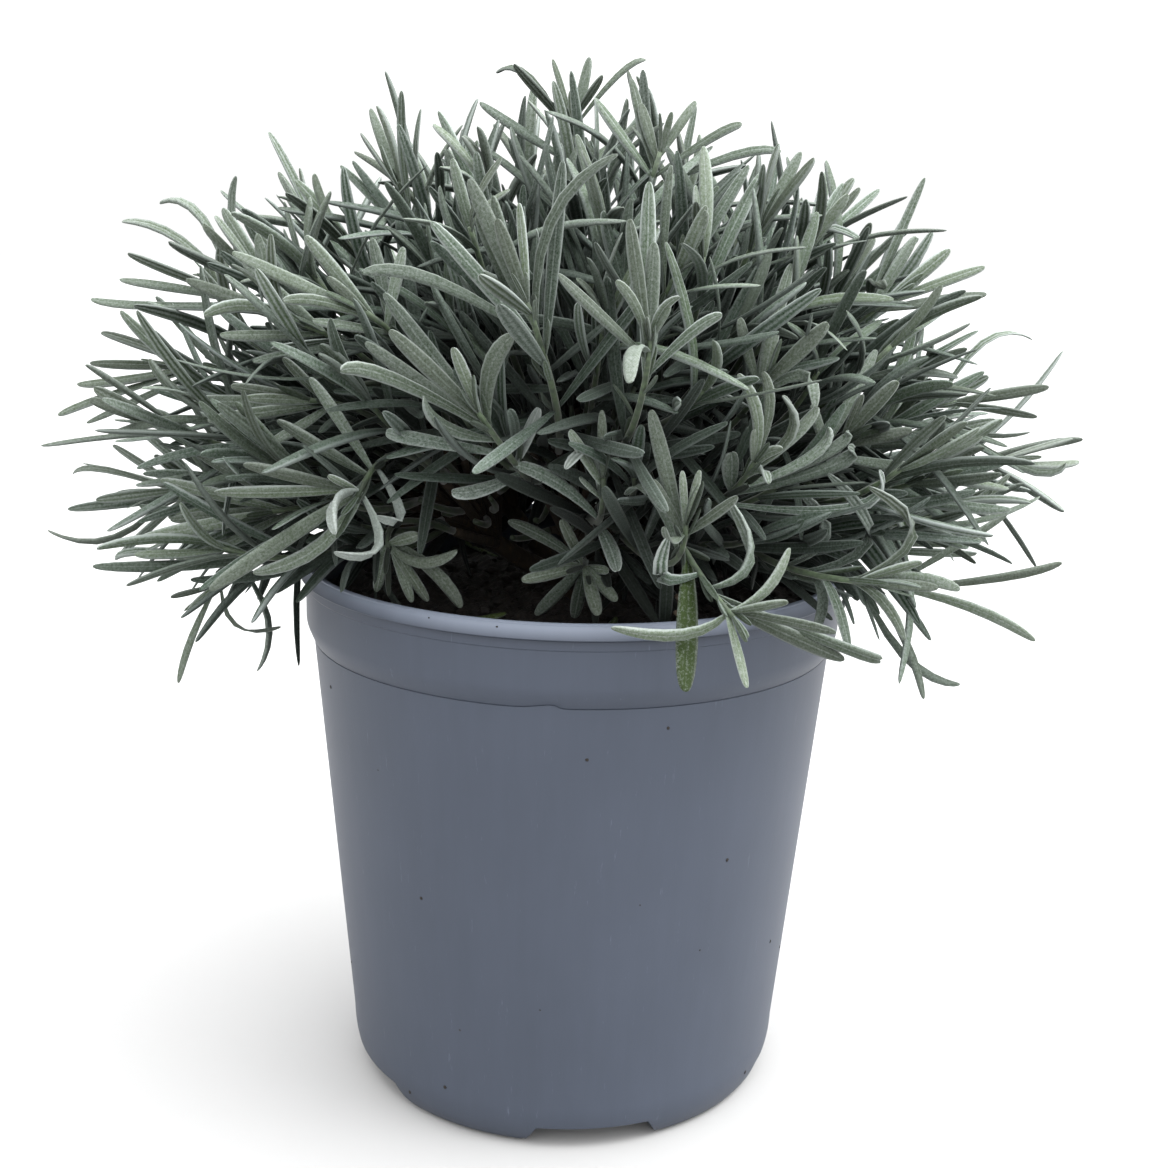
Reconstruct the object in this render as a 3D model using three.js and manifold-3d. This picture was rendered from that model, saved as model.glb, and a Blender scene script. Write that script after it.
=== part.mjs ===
// A lavender plant out of flower, in the grey nursery pot it is grown and sold in.
// Millimetres, +Z up. The origin is on the ground, at the centre of the pot's foot.
// The front is towards -Y.

import * as THREE from "three";
import { mergeVertices } from "three/addons/utils/BufferGeometryUtils.js";
import Module from "manifold-3d";

const wasm = await Module();
wasm.setup();

// Pot: an injection-moulded three-litre container, 19 cm across
const POT_HEIGHT = 186;
const RIM_RADIUS = 95;
const LIP_HEIGHT = 5;
const LIP_ROUNDING = 1.6;
const LIP_SLOPE = 0.8;
const LIP_INNER_RADIUS = 90.6;
const COLLAR_RADIUS = 93.3;
const COLLAR_BOTTOM_RADIUS = 92.7;
const COLLAR_INNER_RADIUS = 90.2;
const COLLAR_HEIGHT = 27.6;
const SHOULDER_HEIGHT = 6;
const WALL_TOP_RADIUS = 90.2;
const WALL_BOTTOM_RADIUS = 77.4;
const WALL_THICKNESS = 1.5;
const CORNER_HEIGHT = 17.6;
const CORNER_TURNS = [60, 30, 0];
const INNER_CORNER_RADIUS = 73.9;
const FOOT_RADIUS = 70.4;
const FOOT_WIDTH = 6;
const FOOT_BEVEL = 1.5;
const FLOOR_UNDERSIDE = 8;
const FLOOR_TOP = 9.5;
const POT_SIDES = 48;

// Drainage: notches in the foot, with a hole through the floor at each
const NOTCH_COUNT = 5;
const NOTCH_HEIGHT = 7.8;
const NOTCH_HALF_WIDTH = 17.5;
const NOTCH_SLOPE = 4.5;
const FIRST_NOTCH_TURN = 8.5;
const DRAIN_HOLE_RADIUS = 4;
const DRAIN_HOLE_PLACE = 57;
const DRAIN_HOLE_SIDES = 10;

// Potting soil, with a plain hole that the root collar stands in
const SOIL_LEVEL = 171;
const SOIL_CLEARANCE = 0.4;
const SOIL_RINGS = [76, 57, 38, 22];
const SOIL_SIDES = 24;
const SOIL_LUMP_HEIGHT = 2.6;
const BROAD_LUMPS = { along: 0.055, across: 0.047, share: 0.6 };
const FINE_LUMPS = { along: 0.19, across: 0.23, share: 0.4 };
const COLLAR_HOLE_RADIUS = 9.4;
const COLLAR_HOLE_DEPTH = 30;
const COLLAR_HOLE_SIDES = 12;

// Woody base: a root collar, its limbs and their twigs
const ROOT_COLLAR_RADIUS = 8.6;
const ROOT_COLLAR_TOP_RADIUS = 6.6;
const ROOT_COLLAR_TOP = 180;
const ROOT_COLLAR_SIDES = 9;
const LIMB_COUNT = 7;
const LIMB_SEAT = 4;
const LIMB_SAG = 2.5;
const LIMB_ELEVATION = 36;
const LIMB_AZIMUTH_STRAY = 9;
const LIMB_ELEVATION_STRAY = 8;
const UPRIGHT_LIMB = { azimuth: 40, elevation: 84 };
const LIMB_LENGTH = 36;
const LIMB_RADIUS = 4.2;
const LIMB_TIP_RADIUS = 2.9;
const LIMB_STEPS = 2;
const LIMB_SIDES = 5;
const TWIG_RADIUS = 1.9;
const TWIG_TIP_RADIUS = 1.6;
const TWIG_SHARE = 0.4;
const TWIG_STEPS = 2;
const TWIG_SIDES = 3;
const TWIG_SEAT = 2;
const TWIG_BEND = 0.35;
const JOINT_GAP = 0.3;
const BOW_STEP = 2;
const MOST_BOW = 30;

// Dome that the tips of the leafy shoots fill, squarer in outline than a ball
const DOME_CENTRE = [-2, -9, 206];
const DOME_SIZES = [134, 127, 106];
const DOME_POWER = 2.6;
const DOME_BOW = 5;
const HEADING_RISE = 0.16;
const HEADING_STRAY = 0.18;
const AZIMUTH_STRAY = 7;
const ELEVATION_STRAY = 3;
const REACH_STRAY = 0.07;
const SHOOT_COUNT = 36;
const SPIRAL_START = 0.6;
const LOWEST_ELEVATION = -9;
const GAP_AZIMUTH = -19;
const GAP_HALF_WIDTH = 26;
const GAP_ELEVATION = 24;
const GOLDEN_TURN = 137.50776;
const SEED = 20731;

// Leafy shoot: a green stem with pairs of leaves, each pair turned a quarter from the last, from the tip down
const STEM_RADIUS = 1.5;
const STEM_TIP_RADIUS = 0.9;
const STEM_STEPS = 4;
const STEM_SIDES = 3;
const PAIR_DEPTHS = [1.5, 8, 17, 28, 41];
const PAIR_ANGLES = [15, 27, 38, 48, 58];
const LEAF_LENGTHS = [25, 38, 47, 50, 46];
const LEAF_WIDTH = 4.6;
const LEAF_KEEL = 1.1;
const LEAF_STATIONS = [0.2, 0.55, 0.87];
const LEAF_WIDTH_SHARES = [0.74, 1, 0.8];
const YOUNG_STATIONS = [0.35, 0.8];
const YOUNG_WIDTH_SHARES = [0.8, 0.9];
const LEAF_BEND = 0.2;
const LEAF_DROOP = 0.04;
const LEAF_TWIST = 30;
const LEAF_TURN_STRAY = 22;
const LEAF_TILT_STRAY = 11;
const LENGTH_STRAY = 0.16;
const WIDTH_STRAY = 0.14;
const LEAF_TRIES = 24;
const LEAF_CLEARANCE = 0.45;
const SHORTENED = 0.62;

// The spot that the photograph was taken from, and the way it looks from there
const VIEWPOINT = [0, -548, 310];
const PHOTO_SIDE = 1168;
const PHOTO_FOCAL = 1600;
const VIEW_PITCH = 0.241;
const VIEW_ROLL = 0.026;
const VIEW_YAW = 0.007;

// The shoots that the photograph shows best, placed by hand since the plant's look hangs on them.
// A shoot's tip is the pixel it shows at and how far behind the pot's axis it lies.
// It has the way it points, how far its stem bows up on the way there, and its leaves.
// A leaf has the pixel of its tip, how far nearer than its root that lies, its root's depth down
// the stem and its width, and where it bends much, the pixel of its middle.
const SHOOTS_IN_VIEW = [
  {
    tip: [527, 302, -120],
    heading: [-0.3, -0.35, 0.88],
    bow: 4,
    leaves: [
      [497, 219, 2, 1, 4.4], [519, 203, 0, 1, 3], [478, 268, 24, 4, 5], [534, 294, 3, 6, 2.6],
      [362, 273, 8, 12, 4.6, 432, 279], [499, 305, 36, 22, 6], [618, 154, -4, 10, 3.8, 551, 220],
      [562, 160, -6, 18, 4.6], [470, 178, 0, 8, 5.4], [434, 217, -3, 16, 5.2],
    ],
  },
  {
    tip: [651, 340, -120],
    heading: [0.05, -0.35, 0.93],
    bow: 4,
    leaves: [
      [558, 275, 26, 6, 5], [616, 281, 9, 3, 3.6, 637, 308], [630, 219, 2, 4, 4.8],
      [649, 316, 4, 1, 2.2], [680, 297, 7, 5, 3.2, 659, 316], [655, 243, 2, 9, 5.2],
      [649, 182, -8, 12, 5.4], [722, 315, 8, 12, 4, 690, 333], [630, 383, 28, 4, 5.4, 634, 348],
    ],
  },
  {
    tip: [478, 412, -112],
    heading: [-0.45, -0.45, 0.75],
    bow: 4,
    leaves: [
      [394, 331, 14, 4, 5.4], [453, 348, 8, 1, 4.4], [341, 371, 20, 8, 4.8, 392, 378],
      [424, 397, 14, 12, 5.4, 446, 426], [513, 335, 6, 6, 6, 489, 372], [365, 343, 0, 10, 4.8],
      [384, 293, -4, 14, 5.2], [386, 432, 2, 20, 4.8, 425, 440], [539, 408, 6, 26, 4.6, 526, 438],
      [452, 492, 8, 32, 5, 482, 489],
    ],
  },
  {
    tip: [603, 478, -98],
    heading: [-0.05, -0.3, 0.95],
    bow: 4,
    leaves: [
      [574, 431, 10, 3, 4.8], [602, 411, 2, 2, 3.2], [565, 469, 14, 10, 4.2, 590, 455],
      [513, 464, 12, 20, 4.8, 558, 483], [581, 477, 4, 8, 2.2], [657, 461, -6, 26, 5.6],
      [617, 571, 16, 28, 5.4, 609, 545],
    ],
  },
  {
    tip: [584, 566, -78],
    heading: [-0.1, -0.85, 0.3],
    bow: 2,
    leaves: [
      [522, 580, 6, 2, 4.4], [539, 563, 0, 4, 3.8], [562, 521, 6, 2, 4],
      [508, 521, -8, 12, 4.6, 545, 538], [598, 615, 8, 2, 5], [617, 601, 2, 4, 4.4],
      [534, 618, -8, 14, 5], [574, 621, -10, 14, 5], [609, 571, 4, 6, 3.4],
    ],
  },
  {
    tip: [686, 525, -108],
    heading: [-0.02, -0.3, 0.95],
    bow: 4,
    leaves: [
      [655, 412, 8, 6, 5.6], [684, 473, 4, 1, 2.8], [699, 472, 3, 1, 2.8], [738, 497, 8, 4, 4.2],
      [657, 481, 6, 4, 4.2], [625, 495, -4, 12, 4.4, 652, 492], [665, 527, 22, 3, 4, 671, 540],
    ],
  },
  {
    tip: [733, 617, -120],
    heading: [0.5, -0.7, -0.45],
    bow: 16,
    leaves: [
      [611, 628, 2, 2, 4.4, 682, 636], [751, 684, 18, 4, 3.6], [790, 548, -4, 2, 4.2, 768, 590],
      [788, 605, 4, 2, 3.4], [836, 633, -2, 3, 3.6, 790, 622], [728, 499, -6, 12, 4.8, 752, 560],
      [692, 688, 24, 26, 7], [668, 537, 4, 18, 5.2, 662, 577], [848, 665, -10, 5, 5.4],
      [880, 659, -16, 9, 4.2, 846, 649],
    ],
  },
  {
    tip: [900, 590, -30],
    heading: [0.97, -0.2, -0.1],
    bow: 14,
    leaves: [
      [1035, 641, 0, 2, 4.4, 972, 608], [924, 699, 4, 10, 4.4, 908, 644],
      [960, 684, -4, 14, 4.2, 906, 656], [1062, 563, -6, 1, 4.2, 1005, 578],
      [830, 474, 8, 38, 4.4, 862, 543], [871, 490, 8, 8, 4.4, 907, 540], [944, 504, -8, 28, 5.6],
      [935, 526, 0, 26, 5.4], [1007, 515, -8, 4, 4.2, 960, 545],
    ],
  },
  {
    tip: [357, 497, -95],
    heading: [-0.3, -0.5, -0.8],
    bow: 14,
    leaves: [
      [242, 469, 4, 2, 4.8], [212, 499, 0, 3, 4.8], [273, 425, -2, 8, 4.8], [311, 377, -2, 10, 4.8],
      [336, 534, 18, 2, 5.4, 337, 502], [210, 589, 2, 3, 5.8], [253, 573, -8, 6, 5.2, 320, 546],
      [334, 552, 12, 2, 4.8, 377, 546], [376, 516, 4, 12, 4.2, 400, 514], [329, 479, 8, 2, 3.2],
    ],
  },
  {
    tip: [212, 590, -28],
    heading: [-0.6, -0.2, -0.75],
    bow: 16,
    leaves: [
      [178, 683, 0, 2, 3.6, 191, 638], [281, 627, 2, 4, 3.8, 236, 626],
      [257, 671, -4, 12, 3.6, 267, 620], [171, 600, 2, 2, 3.4], [189, 611, 4, 3, 3.4],
      [116, 560, 0, 12, 4.2, 150, 553],
    ],
  },
  {
    tip: [388, 548, -75],
    heading: [0.2, -0.8, -0.5],
    bow: 4,
    leaves: [
      [457, 550, 4, 2, 4.2, 420, 563], [461, 608, 2, 4, 5.2, 434, 572], [428, 602, -4, 3, 4.2],
      [412, 602, 0, 6, 4], [418, 536, 4, 2, 4.8], [376, 594, -6, 8, 4.4],
    ],
  },
  {
    tip: [366, 312, -88],
    heading: [-0.7, -0.4, 0.55],
    bow: 4,
    leaves: [
      [232, 253, 6, 3, 4.8], [283, 301, 12, 5, 4.2, 325, 302], [304, 236, 0, 4, 4.8],
      [314, 318, 10, 10, 4.2], [328, 278, 4, 1, 3.6], [370, 238, -6, 12, 5], [400, 246, -2, 8, 4.8],
    ],
  },
  {
    tip: [305, 325, -70],
    heading: [-0.85, -0.35, 0.35],
    bow: 4,
    leaves: [
      [204, 316, 6, 2, 4.6, 252, 306], [220, 336, 6, 6, 4.6], [185, 279, -4, 3, 4.8],
      [253, 355, 10, 14, 4.4], [270, 348, 12, 10, 4], [240, 262, -6, 8, 4.8],
    ],
  },
  {
    tip: [310, 400, -76],
    heading: [-0.75, -0.5, 0.1],
    bow: 4,
    leaves: [
      [231, 386, 6, 2, 4.2], [248, 396, 10, 3, 4], [207, 420, 0, 6, 4.8], [282, 360, 6, 6, 4.2],
      [262, 450, 6, 8, 4.4], [180, 400, -8, 8, 5],
    ],
  },
  {
    tip: [225, 290, -5],
    heading: [-0.85, -0.15, 0.45],
    bow: 4,
    leaves: [
      [122, 222, 2, 2, 4.8, 178, 240], [128, 253, 6, 4, 4.6], [119, 271, 2, 6, 4.2],
      [160, 204, -4, 4, 4.4, 200, 218], [236, 176, -4, 10, 4.4, 232, 225],
      [91, 299, 4, 8, 4.6, 150, 305],
    ],
  },
  {
    tip: [188, 365, 0],
    heading: [-0.95, -0.15, 0.1],
    bow: 6,
    leaves: [
      [101, 332, 2, 3, 4.6], [90, 363, -4, 2, 4.2], [77, 384, 2, 2, 4.6, 130, 378],
      [58, 415, 0, 4, 3.8, 104, 396], [86, 422, 4, 6, 4.2], [150, 300, -4, 12, 4.8],
    ],
  },
  {
    tip: [165, 492, 0],
    heading: [-0.95, -0.1, -0.2],
    bow: 10,
    leaves: [
      [48, 530, 2, 2, 4.2, 112, 537], [73, 474, 0, 3, 4, 105, 470], [112, 448, -4, 6, 4.4],
      [96, 500, 6, 6, 4.4], [130, 420, -2, 14, 4.8],
    ],
  },
  {
    tip: [272, 512, -58],
    heading: [-0.9, -0.3, -0.15],
    bow: 8,
    leaves: [
      [139, 539, 4, 2, 5.4], [157, 485, 0, 4, 5.2], [176, 560, 2, 8, 4.6, 215, 548],
      [190, 455, -2, 8, 4.8], [170, 520, -6, 6, 4.8],
    ],
  },
  {
    tip: [890, 300, -25],
    heading: [0.75, -0.2, 0.55],
    bow: 4,
    leaves: [
      [987, 290, 2, 6, 5], [987, 262, -4, 2, 4.4], [952, 250, 0, 4, 5.2], [917, 237, -4, 8, 5.2],
      [886, 288, 14, 6, 5, 872, 283], [863, 242, 10, 16, 4.4, 820, 240], [924, 178, -10, 10, 4.2],
    ],
  },
  {
    tip: [955, 402, 0],
    heading: [0.95, -0.1, 0.15],
    bow: 6,
    leaves: [
      [990, 377, 10, 8, 4.8], [1049, 387, 0, 2, 4.6], [1037, 411, 4, 2, 4.4],
      [1030, 432, 4, 8, 4.2, 975, 432], [1032, 340, -4, 6, 4.4, 985, 342],
      [1066, 463, -2, 10, 3.8, 1020, 466],
    ],
  },
  {
    tip: [846, 440, -72],
    heading: [0.6, -0.5, 0.5],
    bow: 4,
    leaves: [
      [898, 382, 10, 3, 6], [865, 398, 8, 2, 4], [912, 430, 8, 4, 4.8], [816, 406, 10, 8, 4.6],
      [846, 446, 20, 12, 4.6], [941, 468, -2, 10, 4.6, 890, 465], [880, 350, -6, 10, 5],
    ],
  },
  {
    tip: [768, 378, -92],
    heading: [0.35, -0.45, 0.8],
    bow: 4,
    leaves: [
      [827, 323, 8, 3, 5.6], [778, 318, 2, 4, 5.4], [740, 318, 4, 5, 4.6, 748, 350],
      [815, 408, 12, 10, 4.4, 800, 375], [703, 385, 12, 12, 4.4, 735, 400], [795, 262, -8, 10, 4.8],
    ],
  },
  {
    tip: [572, 118, -5],
    heading: [0, -0.05, 1],
    bow: 4,
    leaves: [
      [519, 60, 2, 4, 4.8], [556, 58, 0, 2, 3.4], [589, 57, -2, 6, 4.8],
      [646, 60, 0, 4, 3.2, 618, 74], [600, 72, 6, 1, 3.6], [496, 73, -4, 8, 3.6, 530, 76],
      [480, 102, -4, 14, 4.8],
    ],
  },
  {
    tip: [660, 152, -42],
    heading: [0.25, -0.1, 0.95],
    bow: 4,
    leaves: [
      [692, 99, 2, 2, 4.4], [642, 102, -4, 3, 4.8], [597, 98, 6, 8, 5.2], [632, 78, -8, 6, 4.2],
      [742, 124, -2, 8, 4, 712, 136], [781, 152, 4, 12, 4.4, 735, 154],
    ],
  },
];

// Shoots placed by hand out of the photograph's view, which fill the sides low down
const SHOOTS_BEHIND = [
  { tip: [150, 8, 222], heading: [0.97, 0.05, 0.08], bow: 10 },
  { tip: [-146, 22, 200], heading: [-0.97, 0.1, -0.05], bow: 12 },
  { tip: [122, 64, 194], heading: [0.85, 0.4, -0.1], bow: 12 },
  { tip: [-122, 64, 197], heading: [-0.85, 0.45, -0.1], bow: 12 },
];

// How far a leaf in view turns its face to the viewpoint, how much one with no middle bends,
// and the length below which it is a plain young leaf
const FACE_SHARE = 0.9;
const VIEWED_BEND = 0.07;
const YOUNG_LENGTH = 30;

// What each draw is for, which keeps the draws apart
const FOR = {
  azimuth: 1,
  elevation: 2,
  reach: 3,
  leanX: 4,
  leanY: 5,
  firstTurn: 11,
  turn: 12,
  tilt: 13,
  bend: 14,
  twist: 15,
  length: 16,
  width: 17,
  limbAzimuth: 71,
  limbElevation: 72,
};

// The first key of the placed shoots, past those of the ruled ones, and the room round their tips
const PLACED_KEY = 500;
const PLACED_ROOM = 30;

const vector = (x, y, z) => new THREE.Vector3(x, y, z);
const UP = vector(0, 0, 1);
const radians = THREE.MathUtils.degToRad;
const degrees = THREE.MathUtils.radToDeg;

// A repeatable draw from 0 to 1 for any list of whole numbers
function draw(...keys) {
  let state = SEED;
  for (const key of keys) {
    state = Math.imul(state ^ (key + 40503), 2246822507);
    state ^= state >>> 13;
    state = Math.imul(state, 3266489909);
    state ^= state >>> 16;
  }
  return (state >>> 0) / 4294967296;
}

// The same draw, spread evenly from -reach to +reach
const spread = (reach, ...keys) => reach * (2 * draw(...keys) - 1);

// Solids and meshes

function solidOf(geometry) {
  const bare = geometry.clone();
  bare.deleteAttribute("normal");
  bare.deleteAttribute("uv");
  const merged = mergeVertices(bare, 1e-4);
  return new wasm.Manifold(
    new wasm.Mesh({
      numProp: 3,
      vertProperties: new Float32Array(merged.attributes.position.array),
      triVerts: new Uint32Array(merged.index.array),
    }),
  );
}

function meshOf(name, solid, material) {
  const made = solid.getMesh();
  const geometry = new THREE.BufferGeometry();
  geometry.setAttribute(
    "position",
    new THREE.BufferAttribute(made.vertProperties, 3),
  );
  geometry.setIndex(new THREE.BufferAttribute(made.triVerts, 1));
  geometry.computeVertexNormals();
  const mesh = new THREE.Mesh(geometry, material);
  mesh.name = name;
  return mesh;
}

// Sums the solids two by two, which stays quick for long lists, and drops any loose scrap of the joins
function fused(solids) {
  let rest = solids;
  while (rest.length > 1) {
    const next = [];
    for (let i = 0; i < rest.length; i += 2)
      next.push(i + 1 < rest.length ? rest[i].add(rest[i + 1]) : rest[i]);
    rest = next;
  }
  return rest[0]
    .decompose()
    .reduce((best, body) => (body.volume() > best.volume() ? body : best));
}

// A closed skin over equal rings of points, with flat ends
function skinned(rings) {
  const sides = rings[0].length;
  const points = rings.flat();
  const faces = ringFaces(rings.length, sides, 0);
  const last = (rings.length - 1) * sides;
  for (let s = 1; s + 1 < sides; s++) {
    faces.push(0, s + 1, s);
    faces.push(last, last + s, last + s + 1);
  }
  return geometryOf(points, faces);
}

// A closed skin over equal rings of points that starts and ends in a point
function pointed(start, rings, end) {
  const sides = rings[0].length;
  const points = [start, ...rings.flat(), end];
  const faces = ringFaces(rings.length, sides, 1);
  const last = 1 + (rings.length - 1) * sides;
  for (let s = 0; s < sides; s++) {
    const next = (s + 1) % sides;
    faces.push(0, 1 + next, 1 + s);
    faces.push(last + s, last + next, points.length - 1);
  }
  return geometryOf(points, faces);
}

// The faces between rings whose points start at a given number
function ringFaces(count, sides, first) {
  const faces = [];
  for (let r = 0; r + 1 < count; r++)
    for (let s = 0; s < sides; s++) {
      const here = first + r * sides + s;
      const beside = first + r * sides + ((s + 1) % sides);
      faces.push(here, beside, beside + sides);
      faces.push(here, beside + sides, here + sides);
    }
  return faces;
}

function geometryOf(points, faces) {
  const geometry = new THREE.BufferGeometry();
  geometry.setAttribute(
    "position",
    new THREE.Float32BufferAttribute(
      points.flatMap((p) => [p.x, p.y, p.z]),
      3,
    ),
  );
  geometry.setIndex(faces);
  return geometry;
}

// A tapered tube along a line of points, with one radius at each end
function tapered(path, startRadius, endRadius, sides) {
  const rings = path.map((point, i) => {
    const [across, over] = crossAxes(wayAt(path, i));
    const share = i / (path.length - 1);
    const radius = startRadius + (endRadius - startRadius) * share;
    return Array.from({ length: sides }, (_, s) => {
      const turn = (2 * Math.PI * (s + 0.5)) / sides;
      return point
        .clone()
        .addScaledVector(across, radius * Math.cos(turn))
        .addScaledVector(over, radius * Math.sin(turn));
    });
  });
  return solidOf(skinned(rings));
}

// The way a bent line runs at one of its points, true at its ends too
function wayAt(path, i) {
  const last = path.length - 1;
  if (i > 0 && i < last) return path[i + 1].clone().sub(path[i - 1]).normalize();
  if (last === 1) return path[1].clone().sub(path[0]).normalize();
  const step = i === 0 ? 1 : -1;
  return path[i]
    .clone()
    .multiplyScalar(-3)
    .addScaledVector(path[i + step], 4)
    .sub(path[i + 2 * step])
    .multiplyScalar(step)
    .normalize();
}

// Two directions square to a line and to each other, the second as near up as it goes
function crossAxes(along) {
  const guide = Math.abs(along.z) > 0.95 ? vector(0, 1, 0) : UP;
  const across = vector(0, 0, 0).crossVectors(guide, along).normalize();
  const over = vector(0, 0, 0).crossVectors(along, across);
  return [across, over];
}

function lathe(profile, sides) {
  const points = profile.map(([r, z]) => new THREE.Vector2(r, z));
  const turned = new THREE.LatheGeometry(points, sides);
  return solidOf(turned.rotateX(Math.PI / 2));
}

function upright(radius, from, to, sides) {
  const made = new THREE.CylinderGeometry(radius, radius, to - from, sides);
  return solidOf(made.rotateX(Math.PI / 2).translate(0, 0, (from + to) / 2));
}

// Pot

function potProfile() {
  const collarBottom = POT_HEIGHT - COLLAR_HEIGHT;
  const shoulderTop = collarBottom + SHOULDER_HEIGHT;
  const lipBottom = POT_HEIGHT - LIP_HEIGHT;
  const cornerWidth = WALL_BOTTOM_RADIUS - FOOT_RADIUS;
  const corner = CORNER_TURNS.map(radians).map((turn) => [
    WALL_BOTTOM_RADIUS - cornerWidth * (1 - Math.cos(turn)),
    CORNER_HEIGHT * (1 - Math.sin(turn)),
  ]);
  return [
    [0, FLOOR_UNDERSIDE],
    [FOOT_RADIUS - FOOT_WIDTH - FOOT_BEVEL, FLOOR_UNDERSIDE],
    [FOOT_RADIUS - FOOT_WIDTH, 0],
    [FOOT_RADIUS, 0],
    ...corner,
    [WALL_TOP_RADIUS, collarBottom],
    [COLLAR_BOTTOM_RADIUS, shoulderTop],
    [COLLAR_RADIUS, lipBottom],
    [RIM_RADIUS, lipBottom],
    [RIM_RADIUS, POT_HEIGHT - LIP_ROUNDING],
    [RIM_RADIUS - LIP_ROUNDING, POT_HEIGHT],
    [LIP_INNER_RADIUS, POT_HEIGHT - LIP_SLOPE],
    [COLLAR_INNER_RADIUS, shoulderTop],
    ...innerWall(),
    [0, FLOOR_TOP],
  ];
}

// The inner wall below the collar, from the top down
function innerWall() {
  return [
    [WALL_TOP_RADIUS - WALL_THICKNESS, POT_HEIGHT - COLLAR_HEIGHT],
    [WALL_BOTTOM_RADIUS - WALL_THICKNESS, CORNER_HEIGHT],
    [INNER_CORNER_RADIUS, FLOOR_TOP],
  ];
}

function notch(turn) {
  const outline = new THREE.Shape([
    new THREE.Vector2(-NOTCH_HALF_WIDTH - NOTCH_SLOPE, -1),
    new THREE.Vector2(NOTCH_HALF_WIDTH + NOTCH_SLOPE, -1),
    new THREE.Vector2(NOTCH_HALF_WIDTH, NOTCH_HEIGHT),
    new THREE.Vector2(-NOTCH_HALF_WIDTH, NOTCH_HEIGHT),
  ]);
  const depth = RIM_RADIUS - FOOT_RADIUS + 2 * FOOT_WIDTH;
  const cutter = new THREE.ExtrudeGeometry(outline, {
    depth,
    bevelEnabled: false,
  });
  cutter.rotateX(Math.PI / 2).translate(0, -FOOT_RADIUS + 2 * FOOT_WIDTH, 0);
  return solidOf(cutter.rotateZ(turn));
}

function drainHole(turn) {
  const hole = new THREE.CylinderGeometry(
    DRAIN_HOLE_RADIUS,
    DRAIN_HOLE_RADIUS,
    2 * FLOOR_TOP,
    DRAIN_HOLE_SIDES,
  );
  hole.rotateX(Math.PI / 2).translate(0, -DRAIN_HOLE_PLACE, FLOOR_TOP);
  return solidOf(hole.rotateZ(turn));
}

function makePot() {
  let pot = lathe(potProfile(), POT_SIDES);
  for (let n = 0; n < NOTCH_COUNT; n++) {
    const turn = radians(FIRST_NOTCH_TURN + (n * 360) / NOTCH_COUNT);
    pot = pot.subtract(notch(turn)).subtract(drainHole(turn));
  }
  return pot;
}

// Soil

// How far the soil's surface stands above its level at a place
function soilLump(x, y) {
  const waves = [BROAD_LUMPS, FINE_LUMPS].map(
    ({ along, across, share }) =>
      share * Math.sin(x * along + 1) * Math.cos(y * across + x * along),
  );
  return SOIL_LUMP_HEIGHT * (waves[0] + waves[1]);
}

function makeSoil() {
  const edge = COLLAR_INNER_RADIUS - SOIL_CLEARANCE;
  const wall = innerWall().map(([r, z]) => [r - SOIL_CLEARANCE, z]);
  wall[wall.length - 1][1] += SOIL_CLEARANCE;
  const profile = [
    [0, FLOOR_TOP + SOIL_CLEARANCE],
    ...wall.reverse(),
    [edge, POT_HEIGHT - COLLAR_HEIGHT + SHOULDER_HEIGHT],
    [edge, SOIL_LEVEL],
    ...SOIL_RINGS.map((r) => [r, SOIL_LEVEL]),
    [0, SOIL_LEVEL],
  ];
  const points = profile.map(([r, z]) => new THREE.Vector2(r, z));
  const turned = new THREE.LatheGeometry(points, SOIL_SIDES);
  turned.rotateX(Math.PI / 2);
  const place = turned.attributes.position;
  for (let i = 0; i < place.count; i++) {
    const [x, y, z] = [place.getX(i), place.getY(i), place.getZ(i)];
    if (z >= SOIL_LEVEL) place.setZ(i, z + soilLump(x, y));
  }
  const hole = upright(
    COLLAR_HOLE_RADIUS,
    SOIL_LEVEL - COLLAR_HOLE_DEPTH,
    POT_HEIGHT,
    COLLAR_HOLE_SIDES,
  );
  return solidOf(turned).subtract(hole);
}

// Where the shoots go

// The way from the dome's centre to its skin, for an azimuth from the front and an elevation
function domeWay(azimuth, elevation) {
  const [a, e] = [radians(azimuth), radians(elevation)];
  return vector(
    Math.sin(a) * Math.cos(e),
    -Math.cos(a) * Math.cos(e),
    Math.sin(e),
  );
}

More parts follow.
